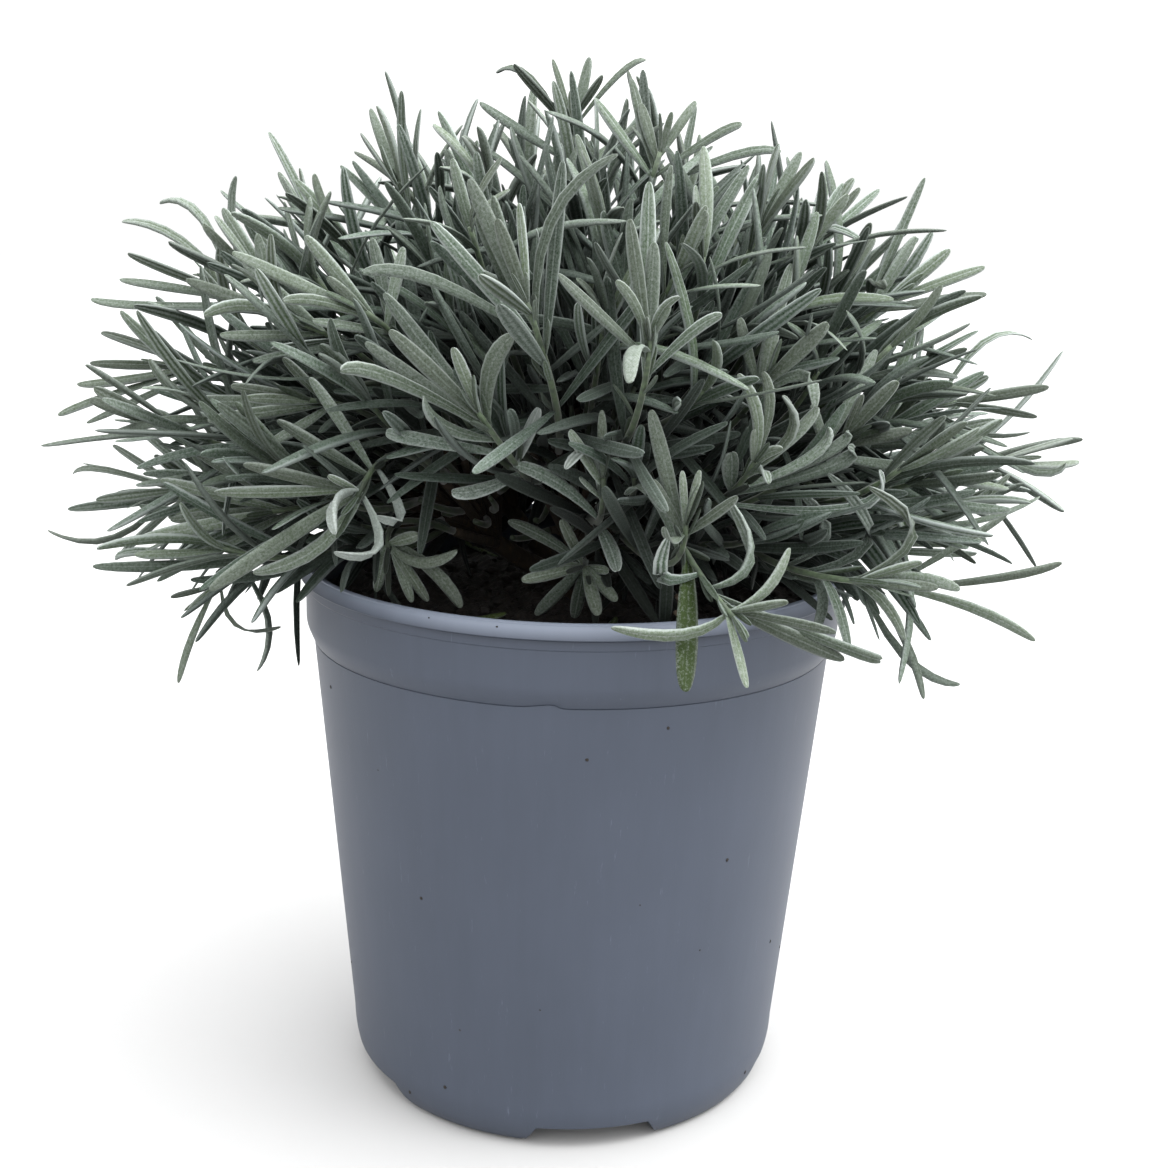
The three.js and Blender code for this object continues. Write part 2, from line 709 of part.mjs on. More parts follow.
// A golden spiral from the top of the dome to its lowest shoots, with a gap low at the front
// and none where a placed shoot already is
function ruledShoots(placed) {
  const shoots = [];
  const lowest = Math.sin(radians(LOWEST_ELEVATION));
  for (let i = 0; i < SHOOT_COUNT; i++) {
    const height = 1 - ((i + SPIRAL_START) / SHOOT_COUNT) * (1 - lowest);
    const azimuth = i * GOLDEN_TURN + spread(AZIMUTH_STRAY, i, FOR.azimuth);
    const elevation =
      degrees(Math.asin(height)) + spread(ELEVATION_STRAY, i, FOR.elevation);
    const fromGap = ((((azimuth - GAP_AZIMUTH) % 360) + 540) % 360) - 180;
    if (Math.abs(fromGap) < GAP_HALF_WIDTH && elevation < GAP_ELEVATION)
      continue;
    const way = domeWay(azimuth, elevation);
    const level = Math.hypot(way.x, way.y) ** DOME_POWER;
    const steep = Math.abs(way.z) ** DOME_POWER;
    const bulge = (level + steep) ** (-1 / DOME_POWER);
    const reach = bulge * (1 + spread(REACH_STRAY, i, FOR.reach));
    const tip = way
      .clone()
      .multiply(vector(...DOME_SIZES))
      .multiplyScalar(reach)
      .add(vector(...DOME_CENTRE));
    if (placed.some((other) => other.tip.distanceTo(tip) < PLACED_ROOM))
      continue;
    const heading = way.clone();
    heading.x += spread(HEADING_STRAY, i, FOR.leanX);
    heading.y += spread(HEADING_STRAY, i, FOR.leanY);
    heading.z += HEADING_RISE;
    heading.normalize();
    shoots.push({ key: i, tip, heading, bow: DOME_BOW, inView: [] });
  }
  return shoots;
}

// The photograph's right, up and forward directions
function photoAxes() {
  const level = Math.cos(VIEW_PITCH);
  const forward = vector(
    Math.sin(VIEW_YAW) * level,
    Math.cos(VIEW_YAW) * level,
    -Math.sin(VIEW_PITCH),
  );
  const right = vector(0, 0, 0).crossVectors(forward, UP).normalize();
  right.applyAxisAngle(forward, -VIEW_ROLL);
  const up = vector(0, 0, 0).crossVectors(right, forward);
  return { right, up, forward };
}

// The point that a pixel of the photograph shows, a given distance behind the pot's axis
function sight(x, y, behind) {
  const { right, up, forward } = photoAxes();
  const ray = forward
    .addScaledVector(right, (x - PHOTO_SIDE / 2) / PHOTO_FOCAL)
    .addScaledVector(up, (PHOTO_SIDE / 2 - y) / PHOTO_FOCAL);
  const from = vector(...VIEWPOINT);
  return from.addScaledVector(ray, (behind - from.y) / ray.y);
}

// The shoots placed by hand, first those in view and then those behind
function placedShoots() {
  const inView = SHOOTS_IN_VIEW.map(({ tip, heading, bow, leaves }) => ({
    tip: sight(...tip),
    heading,
    bow,
    inView: leaves,
  }));
  const behind = SHOOTS_BEHIND.map(({ tip, heading, bow }) => ({
    tip: vector(...tip),
    heading,
    bow,
    inView: [],
  }));
  return [...inView, ...behind].map((shoot, i) => ({
    ...shoot,
    key: PLACED_KEY + i,
    heading: vector(...shoot.heading).normalize(),
  }));
}

// Limbs spread evenly over the dome, the first one nearly upright
function limbWays() {
  return Array.from({ length: LIMB_COUNT }, (_, n) => {
    if (n === 0) return domeWay(UPRIGHT_LIMB.azimuth, UPRIGHT_LIMB.elevation);
    const azimuth = (n * 360) / (LIMB_COUNT - 1);
    return domeWay(
      azimuth + spread(LIMB_AZIMUTH_STRAY, n, FOR.limbAzimuth),
      LIMB_ELEVATION + spread(LIMB_ELEVATION_STRAY, n, FOR.limbElevation),
    );
  });
}

// The point at a share of a bent line from start to end
function bent(start, middle, end, share) {
  const rest = 1 - share;
  return start
    .clone()
    .multiplyScalar(rest * rest)
    .addScaledVector(middle, 2 * rest * share)
    .addScaledVector(end, share * share);
}

function bentLine(start, middle, end, steps) {
  return Array.from({ length: steps + 1 }, (_, i) =>
    bent(start, middle, end, i / steps),
  );
}

// Limbs from the top of the root collar, each with the fork that its twigs start at
function makeLimbs() {
  const base = vector(0, 0, ROOT_COLLAR_TOP - LIMB_SEAT);
  return limbWays().map((way) => {
    const fork = base.clone().addScaledVector(way, LIMB_LENGTH);
    const elbow = base.clone().lerp(fork, 0.5).addScaledVector(UP, -LIMB_SAG);
    return { way, fork, line: bentLine(base, elbow, fork, LIMB_STEPS) };
  });
}

// The woody twig and the green stem that carry a shoot, bowed up by a height
function carried(shoot, { way, fork }, bow) {
  const joint = fork.clone().lerp(shoot.tip, TWIG_SHARE);
  joint.z += bow;
  const green = shoot.tip.distanceTo(joint);
  const elbow = shoot.tip.clone().addScaledVector(shoot.heading, -0.5 * green);
  const onward = elbow.clone().sub(joint).normalize();
  const reach = TWIG_BEND * joint.distanceTo(fork);
  const twigElbow = joint.clone().addScaledVector(onward, -reach);
  const root = fork.clone().addScaledVector(way, -TWIG_SEAT);
  const start = joint.clone().addScaledVector(onward, JOINT_GAP);
  return {
    twig: bentLine(root, twigElbow, joint, TWIG_STEPS),
    stem: bentLine(start, elbow, shoot.tip, STEM_STEPS),
  };
}

// Gives each shoot its limb, twig and stem, bowed up as far as it takes to keep clear
function grow(shoots, limbs, bars) {
  for (const { line } of limbs) bars.push(barOf("wood", line, LIMB_RADIUS));
  for (const shoot of shoots) {
    const out = shoot.tip.clone().sub(vector(...DOME_CENTRE)).normalize();
    const nearest = limbs.reduce((best, limb) =>
      limb.way.dot(out) > best.way.dot(out) ? limb : best,
    );
    for (let rise = 0; rise < MOST_BOW; rise += BOW_STEP) {
      Object.assign(shoot, carried(shoot, nearest, shoot.bow + rise));
      const twig = barOf("wood", shoot.twig, TWIG_RADIUS);
      const stem = barOf(shoot.key, shoot.stem, STEM_RADIUS);
      shoot.bars = [twig, stem];
      if (shoot.bars.every((bar) => barFree(bar, bars))) break;
    }
    shoot.leaves = [];
    bars.push(...shoot.bars);
  }
}

function makeWoodyBase(limbs, shoots) {
  const holeBottom = SOIL_LEVEL - COLLAR_HOLE_DEPTH;
  const collar = [
    vector(0, 0, holeBottom + SOIL_CLEARANCE),
    vector(0, 0, ROOT_COLLAR_TOP),
  ];
  const parts = [
    tapered(
      collar,
      ROOT_COLLAR_RADIUS,
      ROOT_COLLAR_TOP_RADIUS,
      ROOT_COLLAR_SIDES,
    ),
  ];
  for (const { line } of limbs)
    parts.push(tapered(line, LIMB_RADIUS, LIMB_TIP_RADIUS, LIMB_SIDES));
  for (const { twig } of shoots)
    parts.push(tapered(twig, TWIG_RADIUS, TWIG_TIP_RADIUS, TWIG_SIDES));
  return fused(parts);
}

// Leaves

// A place and the way the stem runs there, a given depth down from its tip
function downStem(stem, depth) {
  let left = depth;
  for (let i = stem.length - 1; i > 0; i--) {
    const along = stem[i].clone().sub(stem[i - 1]);
    const length = along.length();
    along.divideScalar(length);
    if (left < length)
      return { at: stem[i].clone().addScaledVector(along, -left), along };
    left -= length;
  }
  return null;
}

// One leaf as it would be drawn: its place, the way it goes, its bend, twist and sizes
function drawnLeaf(shoot, pair, side, attempt) {
  const keys = [shoot.key, pair, side, attempt];
  const seat = downStem(shoot.stem, PAIR_DEPTHS[pair]);
  if (!seat) return null;
  const { at, along } = seat;
  const [across, over] = crossAxes(along);
  const looser = 1 + attempt / LEAF_TRIES;
  const turn = radians(
    360 * draw(shoot.key, FOR.firstTurn) +
      90 * pair +
      180 * side +
      looser * spread(LEAF_TURN_STRAY, ...keys, FOR.turn),
  );
  const outward = across
    .clone()
    .multiplyScalar(Math.cos(turn))
    .addScaledVector(over, Math.sin(turn));
  const tilt = radians(
    PAIR_ANGLES[pair] + looser * spread(LEAF_TILT_STRAY, ...keys, FOR.tilt),
  );
  const way = along
    .clone()
    .multiplyScalar(Math.cos(tilt))
    .addScaledVector(outward, Math.sin(tilt));
  const face = along
    .clone()
    .addScaledVector(way, -along.dot(way))
    .normalize();
  return {
    at,
    way,
    face,
    curl: face
      .clone()
      .multiplyScalar(spread(LEAF_BEND, ...keys, FOR.bend) - LEAF_DROOP),
    twist: radians(spread(LEAF_TWIST, ...keys, FOR.twist)),
    length: LEAF_LENGTHS[pair] * (1 + spread(LENGTH_STRAY, ...keys, FOR.length)),
    width: LEAF_WIDTH * (1 + spread(WIDTH_STRAY, ...keys, FOR.width)),
    stations: pair === 0 ? YOUNG_STATIONS : LEAF_STATIONS,
    shares: pair === 0 ? YOUNG_WIDTH_SHARES : LEAF_WIDTH_SHARES,
  };
}

// One leaf placed by hand, bent through its middle where that has a place of its own
function viewedLeaf(shoot, number, values) {
  const [x, y, nearer, down, width, middleX, middleY] = values;
  const { at, along } = downStem(shoot.stem, down);
  const tip = sight(x, y, at.y - nearer);
  const elbow = at.clone().lerp(tip, 0.5);
  if (middleX)
    elbow.subVectors(
      sight(middleX, middleY, at.y - nearer / 2).multiplyScalar(2),
      elbow,
    );
  const way = elbow.clone().sub(at);
  const length = 2 * way.length();
  way.normalize();
  const face = squareTo(way, along);
  const viewer = squareTo(way, vector(...VIEWPOINT).sub(at));
  const share = face.dot(viewer) > 0 ? FACE_SHARE : -FACE_SHARE;
  face.addScaledVector(viewer, share).normalize();
  const curl = at
    .clone()
    .add(tip)
    .addScaledVector(elbow, -2)
    .divideScalar(length);
  if (!middleX) {
    const bend = spread(VIEWED_BEND, shoot.key, number, FOR.bend) - LEAF_DROOP;
    curl.addScaledVector(face, bend);
  }
  const young = length < YOUNG_LENGTH;
  return {
    at,
    way,
    face,
    curl,
    twist: 0,
    length,
    width,
    stations: young ? YOUNG_STATIONS : LEAF_STATIONS,
    shares: young ? YOUNG_WIDTH_SHARES : LEAF_WIDTH_SHARES,
  };
}

// The part of one way that is square to another
function squareTo(along, way) {
  return way.clone().addScaledVector(along, -along.dot(way)).normalize();
}

// The middle line of a leaf at a share of its length
function leafPoint(leaf, share) {
  return leaf.at
    .clone()
    .addScaledVector(leaf.way, leaf.length * share)
    .addScaledVector(leaf.curl, leaf.length * share * share);
}

function leafLine(leaf) {
  return [0, ...leaf.stations, 1].map((share) => leafPoint(leaf, share));
}

function makeLeaf(leaf) {
  const side = vector(0, 0, 0).crossVectors(leaf.face, leaf.way);
  const rings = leaf.stations.map((share, i) => {
    const middle = leafPoint(leaf, share);
    const along = leaf.way.clone().addScaledVector(leaf.curl, 2 * share).normalize();
    const across = squareTo(along, side);
    const over = vector(0, 0, 0).crossVectors(along, across);
    const turn = leaf.twist * share;
    const flat = across
      .clone()
      .multiplyScalar(Math.cos(turn))
      .addScaledVector(over, Math.sin(turn));
    const top = over
      .clone()
      .multiplyScalar(Math.cos(turn))
      .addScaledVector(across, -Math.sin(turn));
    const half = (leaf.width / 2) * leaf.shares[i];
    return [
      middle.clone().addScaledVector(flat, -half),
      middle.clone().addScaledVector(top, -LEAF_KEEL),
      middle.clone().addScaledVector(flat, half),
    ];
  });
  return solidOf(pointed(leaf.at, rings, leafPoint(leaf, 1)));
}

// Keeping clear

// The shortest distance between two straight stretches
function stretchDistance(a, b, c, d) {
  const [u, v, w] = [b.clone().sub(a), d.clone().sub(c), a.clone().sub(c)];
  const [uu, uv, vv] = [u.dot(u), u.dot(v), v.dot(v)];
  const [uw, vw] = [u.dot(w), v.dot(w)];
  const clamp = (x) => Math.min(Math.max(x, 0), 1);
  const spare = uu * vv - uv * uv;
  let s = spare > 1e-9 ? clamp((uv * vw - vv * uw) / spare) : 0;
  const t = clamp((uv * s + vw) / vv);
  s = clamp((uv * t - uw) / uu);
  return w.addScaledVector(u, s).addScaledVector(v, -t).length();
}

// A bar is a line of points with one radius, which stands for a stem, a twig or a leaf
function barOf(owner, line, radius) {
  const middle = line[0]
    .clone()
    .add(line[line.length - 1])
    .multiplyScalar(0.5);
  const reach = Math.max(...line.map((p) => p.distanceTo(middle)));
  return { owner, line, radius, middle, reach: reach + radius };
}

function barsClear(one, other) {
  if (one.owner === other.owner) return true;
  const room = one.radius + other.radius + LEAF_CLEARANCE;
  const near = one.reach + other.reach + LEAF_CLEARANCE;
  if (one.middle.distanceTo(other.middle) > near) return true;
  for (let i = 0; i + 1 < one.line.length; i++)
    for (let j = 0; j + 1 < other.line.length; j++) {
      const [a, b] = [one.line[i], one.line[i + 1]];
      const [c, d] = [other.line[j], other.line[j + 1]];
      if (stretchDistance(a, b, c, d) < room) return false;
    }
  return true;
}

// Whether a point with room round it is off the pot, its rim and the soil
function pointClearOfPot(point, room) {
  const r = Math.hypot(point.x, point.y);
  if (point.z > POT_HEIGHT + room) return true;
  if (r > RIM_RADIUS + room) return true;
  const soilTop = SOIL_LEVEL + SOIL_LUMP_HEIGHT;
  return r < COLLAR_INNER_RADIUS - room && point.z > soilTop + room;
}

function barClearOfPot(bar) {
  const room = bar.radius + LEAF_CLEARANCE;
  for (let i = 0; i + 1 < bar.line.length; i++)
    for (let share = 0; share <= 1; share += 0.25) {
      const point = bar.line[i].clone().lerp(bar.line[i + 1], share);
      if (!pointClearOfPot(point, room)) return false;
    }
  return true;
}

// Whether a bar keeps off the pot and off every other piece's bars
function barFree(bar, bars) {
  return barClearOfPot(bar) && bars.every((other) => barsClear(bar, other));
}

// Gives the shoots in view their leaves, save those that would meet the pot or another shoot
function viewLeaves(shoots, bars) {
  for (const shoot of shoots)
    shoot.inView.forEach((values, number) => {
      const leaf = viewedLeaf(shoot, number, values);
      const bar = barOf(shoot.key, leafLine(leaf), leaf.width / 2);
      if (!barFree(bar, bars)) return;
      bars.push(bar);
      shoot.leaves.push(leaf);
    });
}

// Chooses the leaves of the other shoots, each the first of its tries that keeps clear of all else
function chooseLeaves(shoots, bars) {
  for (const shoot of shoots) {
    if (shoot.inView.length) continue;
    for (let pair = 0; pair < PAIR_DEPTHS.length; pair++)
      for (let side = 0; side < 2; side++)
        for (let attempt = 0; attempt < 2 * LEAF_TRIES; attempt++) {
          const leaf = drawnLeaf(shoot, pair, side, attempt % LEAF_TRIES);
          if (!leaf) break;
          if (attempt >= LEAF_TRIES) leaf.length *= SHORTENED;
          const bar = barOf(shoot.key, leafLine(leaf), leaf.width / 2);
          if (!barFree(bar, bars)) continue;
          bars.push(bar);
          shoot.leaves.push(leaf);
          break;
        }
  }
}

function makeShoot({ stem, leaves }) {
  const green = tapered(stem, STEM_RADIUS, STEM_TIP_RADIUS, STEM_SIDES);
  return fused([green, ...leaves.map(makeLeaf)]);
}

// The whole plant in its pot

const potPlastic = new THREE.MeshStandardMaterial({
  color: "#69707b",
  roughness: 0.5,
  metalness: 0,
});
const peat = new THREE.MeshStandardMaterial({
  color: "#1f1a15",
  roughness: 0.95,
  metalness: 0,
});
const bark = new THREE.MeshStandardMaterial({
  color: "#5d5142",
  roughness: 0.9,
  metalness: 0,
});
const leafGreen = new THREE.MeshStandardMaterial({
  color: "#84938a",
  roughness: 0.8,
  metalness: 0,
});

const placed = placedShoots();
const shoots = [...placed, ...ruledShoots(placed)];
const limbs = makeLimbs();
const bars = [];
grow(shoots, limbs, bars);
viewLeaves(shoots, bars);
chooseLeaves(shoots, bars);

const plant = new THREE.Group();
plant.add(meshOf("pot", makePot(), potPlastic));
plant.add(meshOf("soil", makeSoil(), peat));
plant.add(meshOf("woody_base", makeWoodyBase(limbs, shoots), bark));
shoots.forEach((shoot, i) => {
  const name = "leafy_shoot_" + String(i + 1).padStart(2, "0");
  plant.add(meshOf(name, makeShoot(shoot), leafGreen));
});

export default plant;
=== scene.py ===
"""A lavender plant out of flower in its nursery pot, on a pale studio floor."""

import math
from itertools import product
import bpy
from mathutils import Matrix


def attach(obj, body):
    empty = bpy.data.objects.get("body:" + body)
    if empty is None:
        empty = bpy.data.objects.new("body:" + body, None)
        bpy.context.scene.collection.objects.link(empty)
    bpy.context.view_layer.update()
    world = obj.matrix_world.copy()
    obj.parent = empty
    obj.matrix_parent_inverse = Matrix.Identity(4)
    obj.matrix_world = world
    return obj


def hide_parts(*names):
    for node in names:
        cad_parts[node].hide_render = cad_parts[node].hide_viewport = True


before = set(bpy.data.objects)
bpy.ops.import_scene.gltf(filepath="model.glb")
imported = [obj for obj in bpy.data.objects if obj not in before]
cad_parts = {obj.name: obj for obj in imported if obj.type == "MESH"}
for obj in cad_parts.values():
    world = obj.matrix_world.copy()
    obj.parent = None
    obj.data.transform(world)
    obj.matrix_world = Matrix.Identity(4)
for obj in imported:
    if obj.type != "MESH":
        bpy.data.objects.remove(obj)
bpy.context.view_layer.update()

from types import SimpleNamespace

import bpy
import numpy as np
from mathutils import Matrix, Vector

bl_info = {
    "name": "Potted lavender",
    "version": (1, 0, 0),
    "blender": (4, 5, 0),
    "location": "View3D > Sidebar > Lavender",
    "description": "Builds a lavender plant out of flower in a nursery pot",
    "category": "Add Mesh",
}

# Sizes are in millimetres until a mesh is made, and turns are in degrees
MM = 0.001

# Pot: an injection-moulded three-litre container, 19 cm across
POT_HEIGHT = 186.0
RIM_RADIUS = 95.0
LIP_HEIGHT = 5.0
LIP_SLOPE = 0.8
LIP_INNER_RADIUS = 90.6
LIP_ARC = (2.6, 1.0)
LIP_ARC_RADIUS = 1.0
LIP_ARC_TURNS = (30, 90)
LIP_ARC_POINTS = 4
COLLAR_RADIUS = 93.3
COLLAR_BOTTOM_RADIUS = 92.7
COLLAR_INNER_RADIUS = 90.2
COLLAR_HEIGHT = 27.6
SHOULDER_HEIGHT = 6.0
WALL_TOP_RADIUS = 90.2
WALL_BOTTOM_RADIUS = 77.4
WALL_THICKNESS = 1.5
WALL_RINGS = 10
CORNER_HEIGHT = 17.6
CORNER_RINGS = 14
INNER_CORNER_RADIUS = 73.9
FOOT_RADIUS = 70.4
FOOT_WIDTH = 6.0
FOOT_BEVEL = 1.5
FOOT_EDGE = 0.3
FLOOR_UNDERSIDE = 8.0
FLOOR_TOP = 9.5
FLOOR_MIDDLE = 4.0
FLOOR_EDGE = 6.0
NOTCH_COUNT = 5
NOTCH_HEIGHT = 7.8
NOTCH_HALF_WIDTH = 17.5
NOTCH_SLOPE = 4.5
FIRST_NOTCH_TURN = 8.5
DRAIN_HOLE_RADIUS = 4.0
DRAIN_HOLE_PLACE = 57.0
DRAIN_HOLE_SIDES = 32
DRAIN_HOLE_ROOM = 8.0
DRILL_REACH = 3.0
POT_SIDES = 360
CREASE_DEPTH = 0.35
BAND_DROP = 8.5
KINK_TURN = -3.4
KINK_SPREADS = (4.2, 1.3)
KINK_HEIGHT = 1.2
KINK_BAND = 1.0
SHARP_FROM = 24

# Small steps of the pot's outline, out and up from one of its places: the crease under the
# shoulder, the shoulder's top, the moulded band, the step under the lip, and the lip's two edges
CREASE_STEPS = ((0.0, -CREASE_DEPTH), (-CREASE_DEPTH, 0.0), (CREASE_DEPTH, 2 * CREASE_DEPTH))
SHOULDER_STEPS = ((-0.1, 0.0), (0.12, 1.4))
SHOULDER_SWELL = (2.0, -1.4)
BAND_STEPS = ((-1.5 * CREASE_DEPTH, -0.3), (-0.4 * CREASE_DEPTH, 0.2))
UNDER_LIP_STEPS = ((-0.4 * CREASE_DEPTH, -0.6), (-2 * CREASE_DEPTH, 0.0))
LIP_BOTTOM_STEPS = ((-0.25, 0.0), (0.0, 0.3), (-0.2, 0.9))
LIP_TOP_STEPS = ((-1.3, -1.6), (-1.7, -0.9))
LIP_INNER_STEPS = ((0.6, 0.1), (0.15, -0.1), (0.0, -0.6))

# Potting soil: its level, its lumps as the lengths and share of two crossed waves, and the
# wavelengths of the crumbs between them
SOIL_LEVEL = 171.0
SOIL_CLEARANCE = 0.4
SOIL_SIDES = 256
SOIL_RINGS = 96
SOIL_MIDDLE = 1.0
SOIL_LUMP_HEIGHT = 2.6
BROAD_LUMPS = (0.055, 0.047, 0.6)
FINE_LUMPS = (0.19, 0.23, 0.4)
CRUMBLE_WAVES = (9.0, 5.3, 3.1, 1.9)
CRUMBLE_TURN = 1.9
CRUMBLE_HEIGHT = 0.09
CRUMBLE_WAVE = 6.28
CRUMBLE_SHARE = 0.8
COLLAR_HOLE_DEPTH = 30.0

# Woody base
ROOT_COLLAR_RADIUS = 8.6
ROOT_COLLAR_TOP_RADIUS = 6.6
ROOT_COLLAR_TOP = 180.0
ROOT_COLLAR_MESH = (6, 20)
LIMB_COUNT = 7
LIMB_SEAT = 4.0
LIMB_SAG = 2.5
LIMB_ELEVATION = 36.0
LIMB_STRAYS = (9, 8)
UPRIGHT_LIMB = (40.0, 84.0)
LIMB_LENGTH = 36.0
LIMB_RADIUS = 4.2
LIMB_TIP_RADIUS = 2.9
LIMB_STEPS = 2
LIMB_MESH = (8, 14)
TWIG_RADIUS = 1.9
TWIG_TIP_RADIUS = 1.6
TWIG_SHARE = 0.4
TWIG_STEPS = 2
TWIG_SEAT = 2.0
TWIG_BEND = 0.35
TWIG_MESH = (8, 9)
JOINT_GAP = 0.3
BOW_STEP = 2
MOST_BOW = 30

# Cushion that the tips of the leafy shoots fill: its half sizes, and how much squarer than an
# ellipsoid it is, where 2 would be an ellipsoid
DOME_CENTRE = np.array((-2.0, -9.0, 206.0))
DOME_SIZES = np.array((134.0, 127.0, 106.0))
DOME_POWER = 2.6
DOME_BOW = 5
HEADING_RISE = 0.16
HEADING_STRAY = 0.18
SHOOT_COUNT = 36
SPIRAL_START = 0.6
AZIMUTH_STRAY = 7
ELEVATION_STRAY = 3
REACH_STRAY = 0.07
LOWEST_ELEVATION = -9.0
GAP_AZIMUTH = -19.0
GAP_HALF_WIDTH = 26.0
GAP_ELEVATION = 24.0
GOLDEN_TURN = 137.50776
SEED = 20731

# Leafy shoot: pairs of leaves, each pair turned a quarter from the last, from the tip down.
# The solids hold the first five pairs, and the rest are lower on the stem.
STEM_RADIUS = 1.5
STEM_STEPS = 4
STEM_ELBOW = 0.5
PAIR_DEPTHS = (1.5, 8, 17, 28, 41, 53, 64, 75)
PAIR_ANGLES = (15, 27, 38, 48, 58, 66, 72, 78)
LEAF_LENGTHS = (25, 38, 47, 50, 46, 43, 40, 36)
SOLID_PAIRS = 5
LEAF_WIDTH = 4.6
LEAF_STATIONS = (0.2, 0.55, 0.87)
YOUNG_STATIONS = (0.35, 0.8)
LEAF_DROOP = 0.04
LEAF_BEND = 0.2
TURN_STRAY = 22
TILT_STRAY = 11
TWIST_STRAY = 30
LENGTH_STRAY = 0.16
WIDTH_STRAY = 0.14
LEAF_TRIES = 24
LEAF_CLEARANCE = 0.45
SHORTENED = 0.62
MOST_BARS = 32768
TEST_SHARES = (0, 0.25, 0.5, 0.75, 1)

# The stems as they show: their radii, and how many steps and sides they have
GREEN_RADII = (1.3, 0.75)
GREEN_MESH = (10, 8)
GREEN_SQUARE = 0.1

